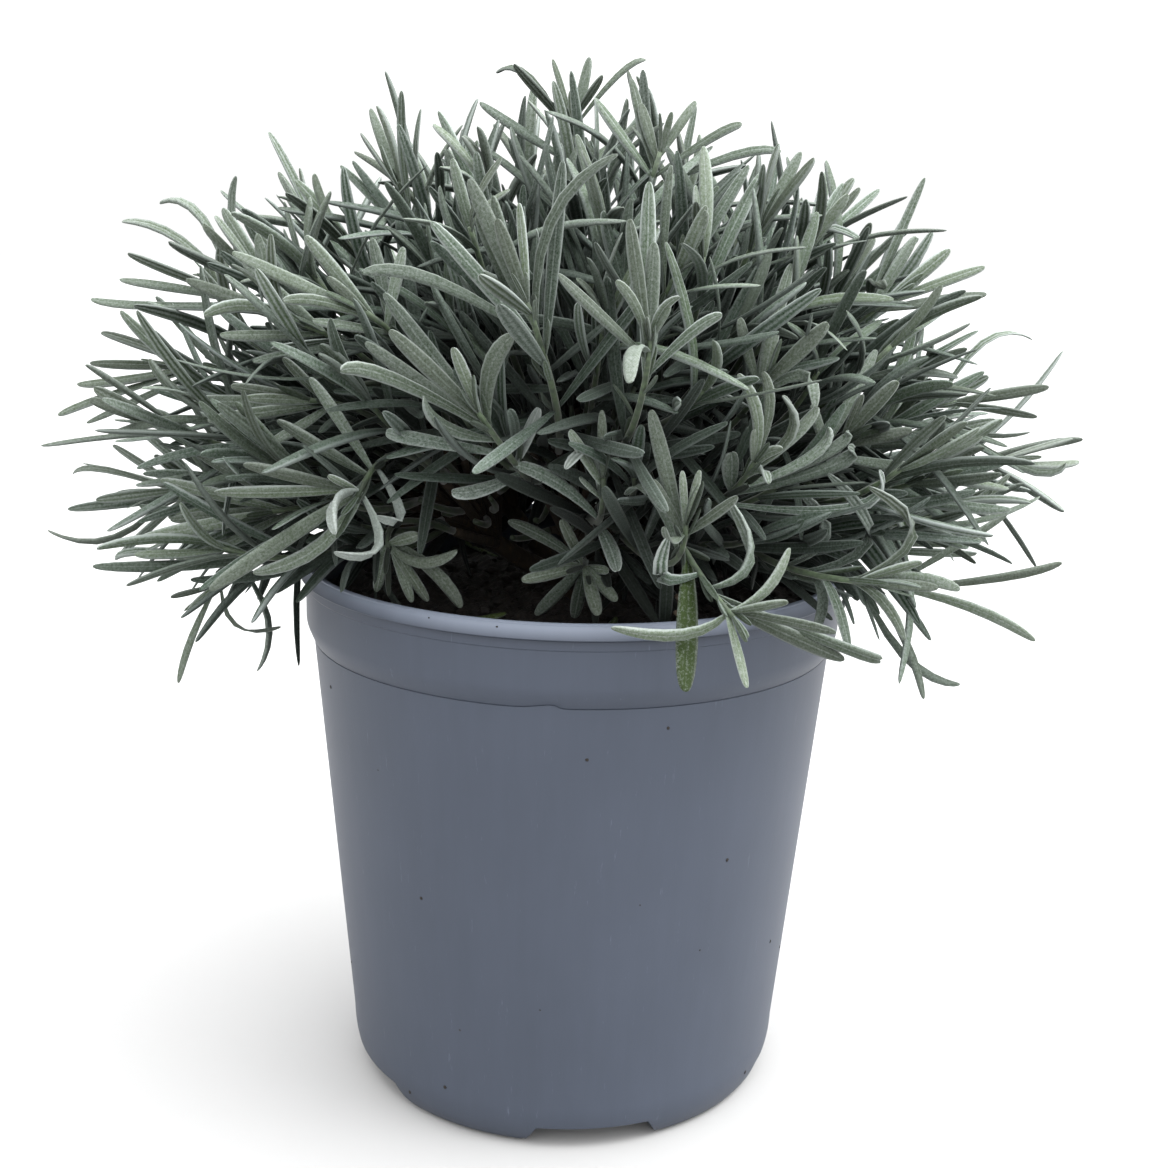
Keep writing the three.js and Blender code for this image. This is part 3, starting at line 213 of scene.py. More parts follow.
# Shoots placed where the photograph shows them. A place is a pixel of the photograph
# and a distance in mm behind the pot's axis. Each shoot has the place of its tip, the way it
# points, its stem's bow, and its leaves: the pixel of the leaf's tip, how much nearer than its
# root that is, how far down the stem it sits, its width, and the pixel of its middle if it bends.
SHOOTS_IN_VIEW = (
    ((527, 302, -120), (-0.3, -0.35, 0.88), 4, (
        (497, 219, 2, 1, 4.4), (519, 203, 0, 1, 3.0), (478, 268, 24, 4, 5.0), (534, 294, 3, 6, 2.6),
        (362, 273, 8, 12, 4.6, 432, 279), (499, 305, 36, 22, 6.0), (618, 154, -4, 10, 3.8, 551, 220),
        (562, 160, -6, 18, 4.6), (470, 178, 0, 8, 5.4), (434, 217, -3, 16, 5.2),
    )),
    ((651, 340, -120), (0.05, -0.35, 0.93), 4, (
        (558, 275, 26, 6, 5.0), (616, 281, 9, 3, 3.6, 637, 308), (630, 219, 2, 4, 4.8),
        (649, 316, 4, 1, 2.2), (680, 297, 7, 5, 3.2, 659, 316), (655, 243, 2, 9, 5.2),
        (649, 182, -8, 12, 5.4), (722, 315, 8, 12, 4.0, 690, 333), (630, 383, 28, 4, 5.4, 634, 348),
    )),
    ((478, 412, -112), (-0.45, -0.45, 0.75), 4, (
        (394, 331, 14, 4, 5.4), (453, 348, 8, 1, 4.4), (341, 371, 20, 8, 4.8, 392, 378),
        (424, 397, 14, 12, 5.4, 446, 426), (513, 335, 6, 6, 6.0, 489, 372), (365, 343, 0, 10, 4.8),
        (384, 293, -4, 14, 5.2), (386, 432, 2, 20, 4.8, 425, 440), (539, 408, 6, 26, 4.6, 526, 438),
        (452, 492, 8, 32, 5.0, 482, 489),
    )),
    ((603, 478, -98), (-0.05, -0.3, 0.95), 4, (
        (574, 431, 10, 3, 4.8), (602, 411, 2, 2, 3.2), (565, 469, 14, 10, 4.2, 590, 455),
        (513, 464, 12, 20, 4.8, 558, 483), (581, 477, 4, 8, 2.2), (657, 461, -6, 26, 5.6),
        (617, 571, 16, 28, 5.4, 609, 545),
    )),
    ((584, 566, -78), (-0.1, -0.85, 0.3), 2, (
        (522, 580, 6, 2, 4.4), (539, 563, 0, 4, 3.8), (562, 521, 6, 2, 4.0),
        (508, 521, -8, 12, 4.6, 545, 538), (598, 615, 8, 2, 5.0), (617, 601, 2, 4, 4.4),
        (534, 618, -8, 14, 5.0), (574, 621, -10, 14, 5.0), (609, 571, 4, 6, 3.4),
    )),
    ((686, 525, -108), (-0.02, -0.3, 0.95), 4, (
        (655, 412, 8, 6, 5.6), (684, 473, 4, 1, 2.8), (699, 472, 3, 1, 2.8), (738, 497, 8, 4, 4.2),
        (657, 481, 6, 4, 4.2), (625, 495, -4, 12, 4.4, 652, 492), (665, 527, 22, 3, 4.0, 671, 540),
    )),
    ((733, 617, -120), (0.5, -0.7, -0.45), 16, (
        (611, 628, 2, 2, 4.4, 682, 636), (751, 684, 18, 4, 3.6), (790, 548, -4, 2, 4.2, 768, 590),
        (788, 605, 4, 2, 3.4), (836, 633, -2, 3, 3.6, 790, 622), (728, 499, -6, 12, 4.8, 752, 560),
        (692, 688, 24, 26, 7.0), (668, 537, 4, 18, 5.2, 662, 577), (848, 665, -10, 5, 5.4),
        (880, 659, -16, 9, 4.2, 846, 649),
    )),
    ((900, 590, -30), (0.97, -0.2, -0.1), 14, (
        (1035, 641, 0, 2, 4.4, 972, 608), (924, 699, 4, 10, 4.4, 908, 644),
        (960, 684, -4, 14, 4.2, 906, 656), (1062, 563, -6, 1, 4.2, 1005, 578),
        (830, 474, 8, 38, 4.4, 862, 543), (871, 490, 8, 8, 4.4, 907, 540), (944, 504, -8, 28, 5.6),
        (935, 526, 0, 26, 5.4), (1007, 515, -8, 4, 4.2, 960, 545),
    )),
    ((357, 497, -95), (-0.3, -0.5, -0.8), 14, (
        (242, 469, 4, 2, 4.8), (212, 499, 0, 3, 4.8), (273, 425, -2, 8, 4.8), (311, 377, -2, 10, 4.8),
        (336, 534, 18, 2, 5.4, 337, 502), (210, 589, 2, 3, 5.8), (253, 573, -8, 6, 5.2, 320, 546),
        (334, 552, 12, 2, 4.8, 377, 546), (376, 516, 4, 12, 4.2, 400, 514), (329, 479, 8, 2, 3.2),
    )),
    ((212, 590, -28), (-0.6, -0.2, -0.75), 16, (
        (178, 683, 0, 2, 3.6, 191, 638), (281, 627, 2, 4, 3.8, 236, 626), (257, 671, -4, 12, 3.6, 267, 620),
        (171, 600, 2, 2, 3.4), (189, 611, 4, 3, 3.4), (116, 560, 0, 12, 4.2, 150, 553),
    )),
    ((388, 548, -75), (0.2, -0.8, -0.5), 4, (
        (457, 550, 4, 2, 4.2, 420, 563), (461, 608, 2, 4, 5.2, 434, 572), (428, 602, -4, 3, 4.2),
        (412, 602, 0, 6, 4.0), (418, 536, 4, 2, 4.8), (376, 594, -6, 8, 4.4),
    )),
    ((366, 312, -88), (-0.7, -0.4, 0.55), 4, (
        (232, 253, 6, 3, 4.8), (283, 301, 12, 5, 4.2, 325, 302), (304, 236, 0, 4, 4.8),
        (314, 318, 10, 10, 4.2), (328, 278, 4, 1, 3.6), (370, 238, -6, 12, 5.0), (400, 246, -2, 8, 4.8),
    )),
    ((305, 325, -70), (-0.85, -0.35, 0.35), 4, (
        (204, 316, 6, 2, 4.6, 252, 306), (220, 336, 6, 6, 4.6), (185, 279, -4, 3, 4.8),
        (253, 355, 10, 14, 4.4), (270, 348, 12, 10, 4.0), (240, 262, -6, 8, 4.8),
    )),
    ((310, 400, -76), (-0.75, -0.5, 0.1), 4, (
        (231, 386, 6, 2, 4.2), (248, 396, 10, 3, 4.0), (207, 420, 0, 6, 4.8), (282, 360, 6, 6, 4.2),
        (262, 450, 6, 8, 4.4), (180, 400, -8, 8, 5.0),
    )),
    ((225, 290, -5), (-0.85, -0.15, 0.45), 4, (
        (122, 222, 2, 2, 4.8, 178, 240), (128, 253, 6, 4, 4.6), (119, 271, 2, 6, 4.2),
        (160, 204, -4, 4, 4.4, 200, 218), (236, 176, -4, 10, 4.4, 232, 225), (91, 299, 4, 8, 4.6, 150, 305),
    )),
    ((188, 365, 0), (-0.95, -0.15, 0.1), 6, (
        (101, 332, 2, 3, 4.6), (90, 363, -4, 2, 4.2), (77, 384, 2, 2, 4.6, 130, 378),
        (58, 415, 0, 4, 3.8, 104, 396), (86, 422, 4, 6, 4.2), (150, 300, -4, 12, 4.8),
    )),
    ((165, 492, 0), (-0.95, -0.1, -0.2), 10, (
        (48, 530, 2, 2, 4.2, 112, 537), (73, 474, 0, 3, 4.0, 105, 470), (112, 448, -4, 6, 4.4),
        (96, 500, 6, 6, 4.4), (130, 420, -2, 14, 4.8),
    )),
    ((272, 512, -58), (-0.9, -0.3, -0.15), 8, (
        (139, 539, 4, 2, 5.4), (157, 485, 0, 4, 5.2), (176, 560, 2, 8, 4.6, 215, 548),
        (190, 455, -2, 8, 4.8), (170, 520, -6, 6, 4.8),
    )),
    ((890, 300, -25), (0.75, -0.2, 0.55), 4, (
        (987, 290, 2, 6, 5.0), (987, 262, -4, 2, 4.4), (952, 250, 0, 4, 5.2), (917, 237, -4, 8, 5.2),
        (886, 288, 14, 6, 5.0, 872, 283), (863, 242, 10, 16, 4.4, 820, 240), (924, 178, -10, 10, 4.2),
    )),
    ((955, 402, 0), (0.95, -0.1, 0.15), 6, (
        (990, 377, 10, 8, 4.8), (1049, 387, 0, 2, 4.6), (1037, 411, 4, 2, 4.4),
        (1030, 432, 4, 8, 4.2, 975, 432), (1032, 340, -4, 6, 4.4, 985, 342),
        (1066, 463, -2, 10, 3.8, 1020, 466),
    )),
    ((846, 440, -72), (0.6, -0.5, 0.5), 4, (
        (898, 382, 10, 3, 6.0), (865, 398, 8, 2, 4.0), (912, 430, 8, 4, 4.8), (816, 406, 10, 8, 4.6),
        (846, 446, 20, 12, 4.6), (941, 468, -2, 10, 4.6, 890, 465), (880, 350, -6, 10, 5.0),
    )),
    ((768, 378, -92), (0.35, -0.45, 0.8), 4, (
        (827, 323, 8, 3, 5.6), (778, 318, 2, 4, 5.4), (740, 318, 4, 5, 4.6, 748, 350),
        (815, 408, 12, 10, 4.4, 800, 375), (703, 385, 12, 12, 4.4, 735, 400), (795, 262, -8, 10, 4.8),
    )),
    ((572, 118, -5), (0.0, -0.05, 1.0), 4, (
        (519, 60, 2, 4, 4.8), (556, 58, 0, 2, 3.4), (589, 57, -2, 6, 4.8), (646, 60, 0, 4, 3.2, 618, 74),
        (600, 72, 6, 1, 3.6), (496, 73, -4, 8, 3.6, 530, 76), (480, 102, -4, 14, 4.8),
    )),
    ((660, 152, -42), (0.25, -0.1, 0.95), 4, (
        (692, 99, 2, 2, 4.4), (642, 102, -4, 3, 4.8), (597, 98, 6, 8, 5.2), (632, 78, -8, 6, 4.2),
        (742, 124, -2, 8, 4.0, 712, 136), (781, 152, 4, 12, 4.4, 735, 154),
    )),
)

# Shoots placed where the photograph doesn't reach, in mm: the tip, the way it points,
# and its stem's bow. Their leaves follow the rule.
SHOOTS_BEHIND = (
    ((150, 8, 222), (0.97, 0.05, 0.08), 10),
    ((-146, 22, 200), (-0.97, 0.1, -0.05), 12),
    ((122, 64, 194), (0.85, 0.4, -0.1), 12),
    ((-122, 64, 197), (-0.85, 0.45, -0.1), 12),
)
PLACED_KEY = 500
PLACED_ROOM = 30.0

# Shoots in view that only the scene holds, among the filling, given as those above
SHOOTS_BETWEEN = (
    ((755, 462, -98), (0.3, -0.45, 0.8), 4, (
        (738, 374, 4, 2, 4.2, 758, 418), (763, 372, 2, 2, 3.8, 769, 412), (756, 431, 6, 1, 2.8),
        (782, 396, 4, 4, 4.2, 790, 434), (783, 449, 6, 5, 3.8, 763, 456), (818, 407, 2, 6, 4.4, 791, 438),
        (769, 484, 8, 10, 3.8, 757, 470), (733, 454, 6, 14, 6.6), (828, 427, 0, 12, 4.2, 808, 458),
        (846, 431, 0, 14, 4.2, 824, 454), (848, 446, 2, 16, 5.4, 832, 466),
        (879, 470, 4, 22, 4.2, 850, 508),
    )),
    ((868, 582, -98), (0.9, -0.35, 0.05), 6, (
        (828, 474, 6, 21, 4.4, 868, 540), (869, 487, 4, 4, 4.2, 914, 535), (940, 588, -2, 2, 4.0),
        (922, 562, 2, 3, 3.6), (960, 590, -4, 6, 4.4, 915, 578), (905, 640, 4, 6, 4.0, 882, 600),
        (850, 652, 4, 14, 4.6, 838, 605), (812, 640, 2, 18, 4.6, 824, 602),
        (800, 493, 2, 28, 4.2, 826, 535),
    )),
)
BETWEEN_KEY = 1900

# What each draw is for, which keeps the draws apart
FOR = SimpleNamespace(
    azimuth=1,
    elevation=2,
    reach=3,
    lean_x=4,
    lean_y=5,
    first_turn=11,
    turn=12,
    tilt=13,
    bend=14,
    twist=15,
    length=16,
    width=17,
    tone=19,
    swerve=20,
    roll=21,
    stripe=22,
    limb_azimuth=71,
    limb_elevation=72,
)

# How far a leaf in view turns its blade to the viewer, how much it bends, how much painted shade
# darkens its root, and how fast it ages down its stem
FACE_SHARE = 0.9
VIEWED_BEND = 0.07
VIEWED_SHADE = 0.3
VIEWED_AGEING = 1.6
YOUNG_LENGTH = 30.0

# Filling shoots, which the solids leave out, in six layers of a lower dome with a peak on top.
# A deep layer closes the front gap too. Deeper leaves are older and darker, partly as painted shade.
FILL_COUNT = 440
FILL_SIZES = np.array((120.0, 118.0, 102.0))
FILL_POWER = 2.2
FILL_PEAK = 0.13
PEAK_POWER = 12
FILL_LAYERS = (1.0, 0.88, 0.76, 0.64, 0.52, 0.4)
DEEP_SHARE = 0.45
DEEP_AGE_AND_SHADE = 1.5
FILL_KEY = 1000
FILL_ROOM = 10.0
FILL_TRIES = 6
FILL_EASE = 0.36
FILL_ANGLES = (8, 17, 26, 34, 42, 50, 58, 66)
FILL_WIDTH = 4.4
FILL_BEND = 0.72
FILL_DROOP = 0.2
FILL_SWERVE = 0.32
FILL_STRAY = 0.36
FILL_RISE = 0.5
FILL_TWIG_RADII = (1.4, 1.3)
FILL_TWIG_MESH = (6, 6)
FILL_STEM_RADII = (1.3, 0.8)
FILL_STEM_MESH = (8, 6)

# Where no filling goes: before the placed shoots, above the plant, and in the hollow at the
# front left, which is a pixel of the photograph with a depth, and half sizes
FRONT_LOW = 72.0
FRONT_SLOPE = 0.5
FRONT_ROOM = 16.0
FILL_TOP = 349.0
TOP_FLAT = 25.0
TOP_SLOPE = 0.5
HOLLOW_PLACE = (488, 548, -52)
HOLLOW_SIZES = np.array((31.0, 36.0, 36.0))
HOLLOW_STEPS = 8

# Painted shade: how the plant's colours darken from its skin inwards, in shares of the dome with its leaves
SKIN_DEPTH = 24.0
SHADE_START = 0.94
SHADE_REACH = 0.4

# Small leaves: buds at a shoot's tip, and young leaves in the angles of the upper pairs
SMALL_KEY = 30
SMALL_CHANCE = 0.8
SMALL_STRAY = 40
SMALL_BEND = 0.25
SMALL_LENGTH = 12.0
SMALL_LENGTH_STRAY = 0.4
SMALL_WIDTH = 2.3
SMALL_WIDTH_STRAY = 0.2
SMALL_AGE = 0.05
BUD_SEAT = (0.8, 10, 0.5)
AXIL_PAIRS = (1, 2, 3, 4, 5)
AXIL_SHARE = 0.45
AXIL_DROP = 1

# Leaves in view that differ, by the numbers of their shoot and leaf: white with felt where
# one is folded over, and broad, bare and yellowed where an old one hangs over the rim
WHITE = {"felt": 0.35, "stripe": 0.0}
ODD_LEAVES = {
    (1, 8): {"felt": 0.1, "tone": 0.5, "stripe": 0.0, "roll": 0.2},
    (6, 6): {"broad": 1.22, "felt": -0.35, "yellow": 0.3, "stripe": 0.1, "age": 0.9, "roll": 0.0},
    (6, 1): {"broad": 1.1, "yellow": 0.2},
    (6, 0): {"broad": 1.1, "yellow": 0.15},
    (8, 4): WHITE,
    (8, 7): WHITE,
    (8, 8): WHITE,
    (2, 8): {"felt": 0.3},
    (3, 2): {"felt": 0.3},
}

# Leaf blade: shares of the length, the width there, and a section in half widths that runs
# anticlockwise from the right margin over the grooved top and back under the midrib.
# The felted blade is a little slimmer than its solid.
BLADE_STATIONS = np.array((0, 0.07, 0.18, 0.32, 0.48, 0.63, 0.77, 0.88, 0.95, 0.985, 1.0))
BLADE_SHARES = np.array((0.32, 0.46, 0.66, 0.86, 0.99, 1.04, 0.98, 0.84, 0.63, 0.42, 0.16))
BLADE_ACROSS = np.array((1.0, 0.52, 0.0, -0.52, -1.0, -0.8, -0.42, 0.0, 0.42, 0.8))
BLADE_HEIGHT = np.array((-0.24, 0.2, -0.06, 0.2, -0.24, -0.56, -0.28, -0.42, -0.28, -0.56))
BLADE_TOP = np.array((0.6, 1.0, 1.0, 1.0, 0.6, 0.0, 0.0, 0.0, 0.0, 0.0))
BLADE_SLIM = 0.84
ROLL_SHARE = 0.5

# Litter on the soil: crumbs, with the height and width of each of their rings, fallen leaves
# by place and turn, and a dry twig whose top is a pixel of the photograph with a depth
CRUMB_KEY = 5000
CRUMB_COUNT = 420
CRUMB_RADIUS = 2.0
CRUMB_LEAST = 0.4
CRUMB_SIDES = 6
CRUMB_STRAY = 0.3
CRUMB_RISE = 0.2
CRUMB_RINGS = ((-0.6, 0.5), (-0.1, 1.0), (0.4, 0.85), (0.75, 0.4))
LITTER_FLAT = 0.8
LITTER_EDGE = 4.0
FALLEN_LEAVES = (
    (-46, -52, 20), (-20, -70, 160), (8, -62, 75), (-60, -20, 250), (40, 55, 10), (-30, 60, 130),
)
FALLEN_RISE = 1.6
FALLEN_SLOPE = 0.04
FALLEN_CURL = (0, 0, 0.06)
FALLEN_SIZE = {"length": 26.0, "width": 3.6, "twist": 0.4}
# Fallen leaves get an even painted shade
FALLEN_LOOK = {"age": 1.0, "tone": 0.5, "yellow": 0.9, "felt": -0.2, "depths": (0.2, 0.2)}
DRY_TWIG_TOP = (678, 597, -82)
DRY_TWIG_FOOT = (2, 3, -2)
DRY_TWIG_BEND = (1.5, 0, 0)
DRY_TWIG_RADII = (0.8, 0.6)
DRY_TWIG_MESH = (8, 7)
DRY_KNOTS = (3, 5.0, 1.2)

# Specks on the pot, by pixel of the photograph and radius, and as many round the back
SPECK_KEY = 6000
SPECKS_IN_VIEW = (
    (421, 898, 0.7), (445, 1087, 0.7), (587, 760, 0.6), (727, 860, 0.7), (668, 728, 0.6),
    (460, 1030, 0.4), (640, 905, 0.35), (540, 1010, 0.35), (378, 770, 0.35), (745, 1072, 0.8),
    (410, 1092, 0.8), (700, 950, 0.35), (497, 627, 0.4), (429, 618, 0.35),
)
SPECKS_BEHIND = 18
SPECK_AZIMUTHS = (60, 240)
SPECK_HEIGHTS = (15, 150)
SPECK_RADII = (0.45, 0.3)
SPECK_FLAT = 0.4
SIGHT_STEPS = 2000

# Studio: how much brighter it is overhead than at eye level, and its lamp in metres
ZENITH_SHARE = 5.6
SIDE_SHARE = 0.32
LAMP_PLACE = (1.0, -0.35, 1.7)
LAMP_AIM = (0.0, 0.0, 0.25)

# Camera: where the photograph was taken from, its focal length in pixels, and its angles
PHOTO_SIDE = 1168
PHOTO_FOCAL = 1600.0
CAMERA_PLACE = np.array((0.0, -548.0, 310.0))
CAMERA_PITCH = 0.241
CAMERA_ROLL = 0.026
CAMERA_YAW = 0.007
CAMERA_CLIP = (0.01, 50)
SENSOR_WIDTH = 36.0


# Draws and directions

HASH_STEP = 40503
HASH_ROUNDS = ((2246822507, 13), (3266489909, 16))
HASH_SPAN = 2**32
NEARLY_UPRIGHT = 0.95
NEARLY_PARALLEL = 1e-9


def draw(*keys):
    """A repeatable draw from 0 to 1 for any whole numbers."""
    state = SEED
    for key in keys:
        state ^= key + HASH_STEP
        for factor, shift in HASH_ROUNDS:
            state = state * factor % HASH_SPAN
            state ^= state >> shift
    return state / HASH_SPAN


def spread(reach, *keys):
    """The same draw, spread evenly from -reach to +reach."""
    return reach * (2 * draw(*keys) - 1)


def unit(way):
    return way / np.linalg.norm(way)


def units(ways):
    """Many directions made one long each."""
    return ways / np.linalg.norm(ways, axis=-1, keepdims=True)


def cross_axes(along):
    """Two directions square to a line and to each other, the second as near up as it goes."""
    guide = np.array((0.0, 1.0, 0.0) if abs(along[2]) > NEARLY_UPRIGHT else (0.0, 0.0, 1.0))
    across = unit(np.cross(guide, along))
    return across, np.cross(along, across)


def dome_way(azimuth, elevation):
    a, e = math.radians(azimuth), math.radians(elevation)
    return np.array((math.sin(a) * math.cos(e), -math.cos(a) * math.cos(e), math.sin(e)))


def bent_line(start, middle, end, steps):
    """Points along a bent line from start to end."""
    share = np.linspace(0, 1, steps + 1)[:, None]
    rest = 1 - share
    return rest * rest * start + 2 * rest * share * middle + share * share * end


def around(sides, start=0.0):
    """Turns in radians, evenly round a circle."""
    return (np.arange(sides) + start) * 2 * math.pi / sides


def photo_axes():
    """The photograph's right, up and forward directions."""
    level = math.cos(CAMERA_PITCH)
    forward = np.array(
        (math.sin(CAMERA_YAW) * level, math.cos(CAMERA_YAW) * level, -math.sin(CAMERA_PITCH))
    )
    right = unit(np.cross(forward, (0, 0, 1)))
    up = np.cross(right, forward)
    c, s = math.cos(CAMERA_ROLL), math.sin(CAMERA_ROLL)
    return c * right + s * up, c * up - s * right, forward


def sight(x, y, behind):
    """The point that a pixel of the photograph shows, a given distance behind the pot's axis."""
    right, up, forward = photo_axes()
    centre = PHOTO_SIDE / 2
    ray = forward + (x - centre) / PHOTO_FOCAL * right + (centre - y) / PHOTO_FOCAL * up
    return CAMERA_PLACE + ray * (behind - CAMERA_PLACE[1]) / ray[1]


# The plant's rule, which is the one that its solids follow


def new_shoot(key, tip, heading, bow=DOME_BOW, in_view=(), depth=0.0):
    """A shoot with its tip, the way it points, its bow, and its leaves in view, if any."""
    return SimpleNamespace(
        key=key,
        tip=np.array(tip, float),
        heading=unit(np.array(heading)),
        bow=bow,
        in_view=in_view,
        depth=depth,
        leaves=[],
        aside=[],
    )


def shoots_in_view(rows, key):
    """Shoots placed where the photograph shows them."""
    return [new_shoot(key + i, sight(*place), *rest) for i, (place, *rest) in enumerate(rows)]


def in_front_gap(azimuth, elevation):
    from_gap = ((azimuth - GAP_AZIMUTH) % 360 + 540) % 360 - 180
    return abs(from_gap) < GAP_HALF_WIDTH and elevation < GAP_ELEVATION


def spiral_shoot(i, count, key, layer=1.0):
    """The shoot at one step of a golden spiral over a dome, or None in the front gap."""
    filling = key >= FILL_KEY
    low = math.sin(math.radians(LOWEST_ELEVATION))
    height = 1 - ((i + SPIRAL_START) / count) * (1 - low)
    azimuth = i * GOLDEN_TURN + spread(AZIMUTH_STRAY, key, FOR.azimuth)
    elevation = math.degrees(math.asin(height)) + spread(ELEVATION_STRAY, key, FOR.elevation)
    if in_front_gap(azimuth, elevation) and layer > DEEP_SHARE:
        return None
    way = dome_way(azimuth, elevation)
    level = math.hypot(way[0], way[1])
    power = FILL_POWER if filling else DOME_POWER
    bulge = (level**power + abs(way[2]) ** power) ** (-1 / power)
    reach = layer * bulge * (1 + spread(REACH_STRAY, key, FOR.reach))
    if filling:
        reach *= 1 + FILL_PEAK * max(0, way[2]) ** PEAK_POWER
    tip = DOME_CENTRE + way * (FILL_SIZES if filling else DOME_SIZES) * reach
    stray, rise = (FILL_STRAY, FILL_RISE) if filling else (HEADING_STRAY, HEADING_RISE)
    lean = spread(stray, key, FOR.lean_x), spread(stray, key, FOR.lean_y), rise
    return new_shoot(key, tip, way + np.array(lean), depth=1 - layer)


def far_from(tip, shoots, room):
    return all(np.linalg.norm(other.tip - tip) >= room for other in shoots)


def solid_shoots():
    """The shoots that the solids hold: in view, behind, and those of the rule."""
    placed = shoots_in_view(SHOOTS_IN_VIEW, PLACED_KEY)
    for row in SHOOTS_BEHIND:
        placed.append(new_shoot(PLACED_KEY + len(placed), *row))
    ruled = [spiral_shoot(i, SHOOT_COUNT, i) for i in range(SHOOT_COUNT)]
    return placed + [s for s in ruled if s and far_from(s.tip, placed, PLACED_ROOM)]


def filling_shoots(shoots):
    """Shoots between those of the solids, in layers of the dome."""
    made = []
    for i in range(FILL_COUNT):
        shoot = spiral_shoot(i, FILL_COUNT, FILL_KEY + i, FILL_LAYERS[i % len(FILL_LAYERS)])
        if shoot and not beyond(shoot.tip, 0) and far_from(shoot.tip, shoots + made, FILL_ROOM):
            made.append(shoot)
    return made


def make_limbs():
    """Limbs from the top of the root collar, the first one nearly upright."""
    base = np.array((0.0, 0.0, ROOT_COLLAR_TOP - LIMB_SEAT))
    azimuth_stray, elevation_stray = LIMB_STRAYS
    limbs = []
    for n in range(LIMB_COUNT):
        way = dome_way(*UPRIGHT_LIMB)
        if n:
            way = dome_way(
                n * 360 / (LIMB_COUNT - 1) + spread(azimuth_stray, n, FOR.limb_azimuth),
                LIMB_ELEVATION + spread(elevation_stray, n, FOR.limb_elevation),
            )
        fork = base + way * LIMB_LENGTH
        elbow = (base + fork) / 2 - np.array((0, 0, LIMB_SAG))
        limbs.append(SimpleNamespace(way=way, fork=fork, ends=(base, elbow, fork)))
    return limbs


def carried(shoot, limb, bow):
    """The three points of the woody twig and of the green stem that carry a shoot."""
    joint = limb.fork + (shoot.tip - limb.fork) * TWIG_SHARE
    joint[2] += bow
    green = np.linalg.norm(shoot.tip - joint)
    elbow = shoot.tip - shoot.heading * STEM_ELBOW * green
    onward = unit(elbow - joint)
    twig_elbow = joint - onward * TWIG_BEND * np.linalg.norm(joint - limb.fork)
    root = limb.fork - limb.way * TWIG_SEAT
    return (root, twig_elbow, joint), (joint + onward * JOINT_GAP, elbow, shoot.tip)


class Bars:
    """Stretches with a radius and an owner, which stand for stems, twigs and leaves."""

    def __init__(self):
        self.count = 0
        self.start, self.end = np.zeros((2, MOST_BARS, 3))
        self.radius = np.zeros(MOST_BARS)
        self.owner = np.zeros(MOST_BARS, int)

    def add(self, owner, line, radius):
        here = slice(self.count, self.count + len(line) - 1)
        self.start[here], self.end[here] = line[:-1], line[1:]
        self.radius[here], self.owner[here] = radius, owner
        self.count = here.stop

    def free(self, owner, line, radius, ease=1.0):
        """Whether a line of points keeps clear of every bar of another owner."""
        n = self.count
        c, d = self.start[:n], self.end[:n]
        low, high = line.min(0), line.max(0)
        room = (self.radius[:n] + radius) * ease + LEAF_CLEARANCE * ease
        near = (self.owner[:n] != owner) & np.all(
            (np.minimum(c, d) - room[:, None] <= high) & (np.maximum(c, d) + room[:, None] >= low),
            axis=1,
        )
        if not near.any():
            return True
        c, d, room = c[near], d[near], room[near]
        return not any(np.any(stretch_distance(a, b, c, d) < room) for a, b in zip(line[:-1], line[1:]))


def stretch_distance(a, b, c, d):
    """The shortest distance from one stretch to each of many."""
    u, v, w = b - a, d - c, a - c
    uu, uv, vv = u @ u, v @ u, np.einsum("ij,ij->i", v, v)
    uw, vw = w @ u, np.einsum("ij,ij->i", v, w)
    spare = uu * vv - uv * uv
    crossed = spare > NEARLY_PARALLEL
    level = np.where(crossed, spare, 1.0)
    s = np.where(crossed, np.clip((uv * vw - vv * uw) / level, 0, 1), 0.0)
    t = np.clip((uv * s + vw) / vv, 0, 1)
    s = np.clip((uv * t - uw) / uu, 0, 1)
    return np.linalg.norm(w + s[:, None] * u - t[:, None] * v, axis=1)


def clear_of_pot(line, radius):
    """Whether a line keeps off the pot, its rim and the soil."""
    room = radius + LEAF_CLEARANCE
    for a, b in zip(line[:-1], line[1:]):
        for share in TEST_SHARES:
            point = a + (b - a) * share
            r = math.hypot(point[0], point[1])
            above = point[2] > POT_HEIGHT + room
            inside = r < COLLAR_INNER_RADIUS - room
            over_soil = point[2] > SOIL_LEVEL + SOIL_LUMP_HEIGHT + room
            if not (above or r > RIM_RADIUS + room or (inside and over_soil)):
                return False
    return True


def beyond(points, room):
    """Whether points lie before the placed shoots or above the plant, where no filling goes."""
    front = -FRONT_LOW - FRONT_SLOPE * (points[..., 2] - POT_HEIGHT) - room
    out = np.hypot(points[..., 0], points[..., 1])
    top = FILL_TOP - TOP_SLOPE * np.maximum(0, out - TOP_FLAT)
    return bool(np.any((points[..., 1] < front) | (points[..., 2] > top)))


def in_hollow(line):
    """Whether a line crosses the hollow at the front left, where the soil shows."""
    points = bent_line(line[0], line[len(line) // 2], line[-1], HOLLOW_STEPS)
    off = (points - sight(*HOLLOW_PLACE)) / HOLLOW_SIZES
    return bool(np.any(np.linalg.norm(off, axis=1) < 1))


WOOD = -1


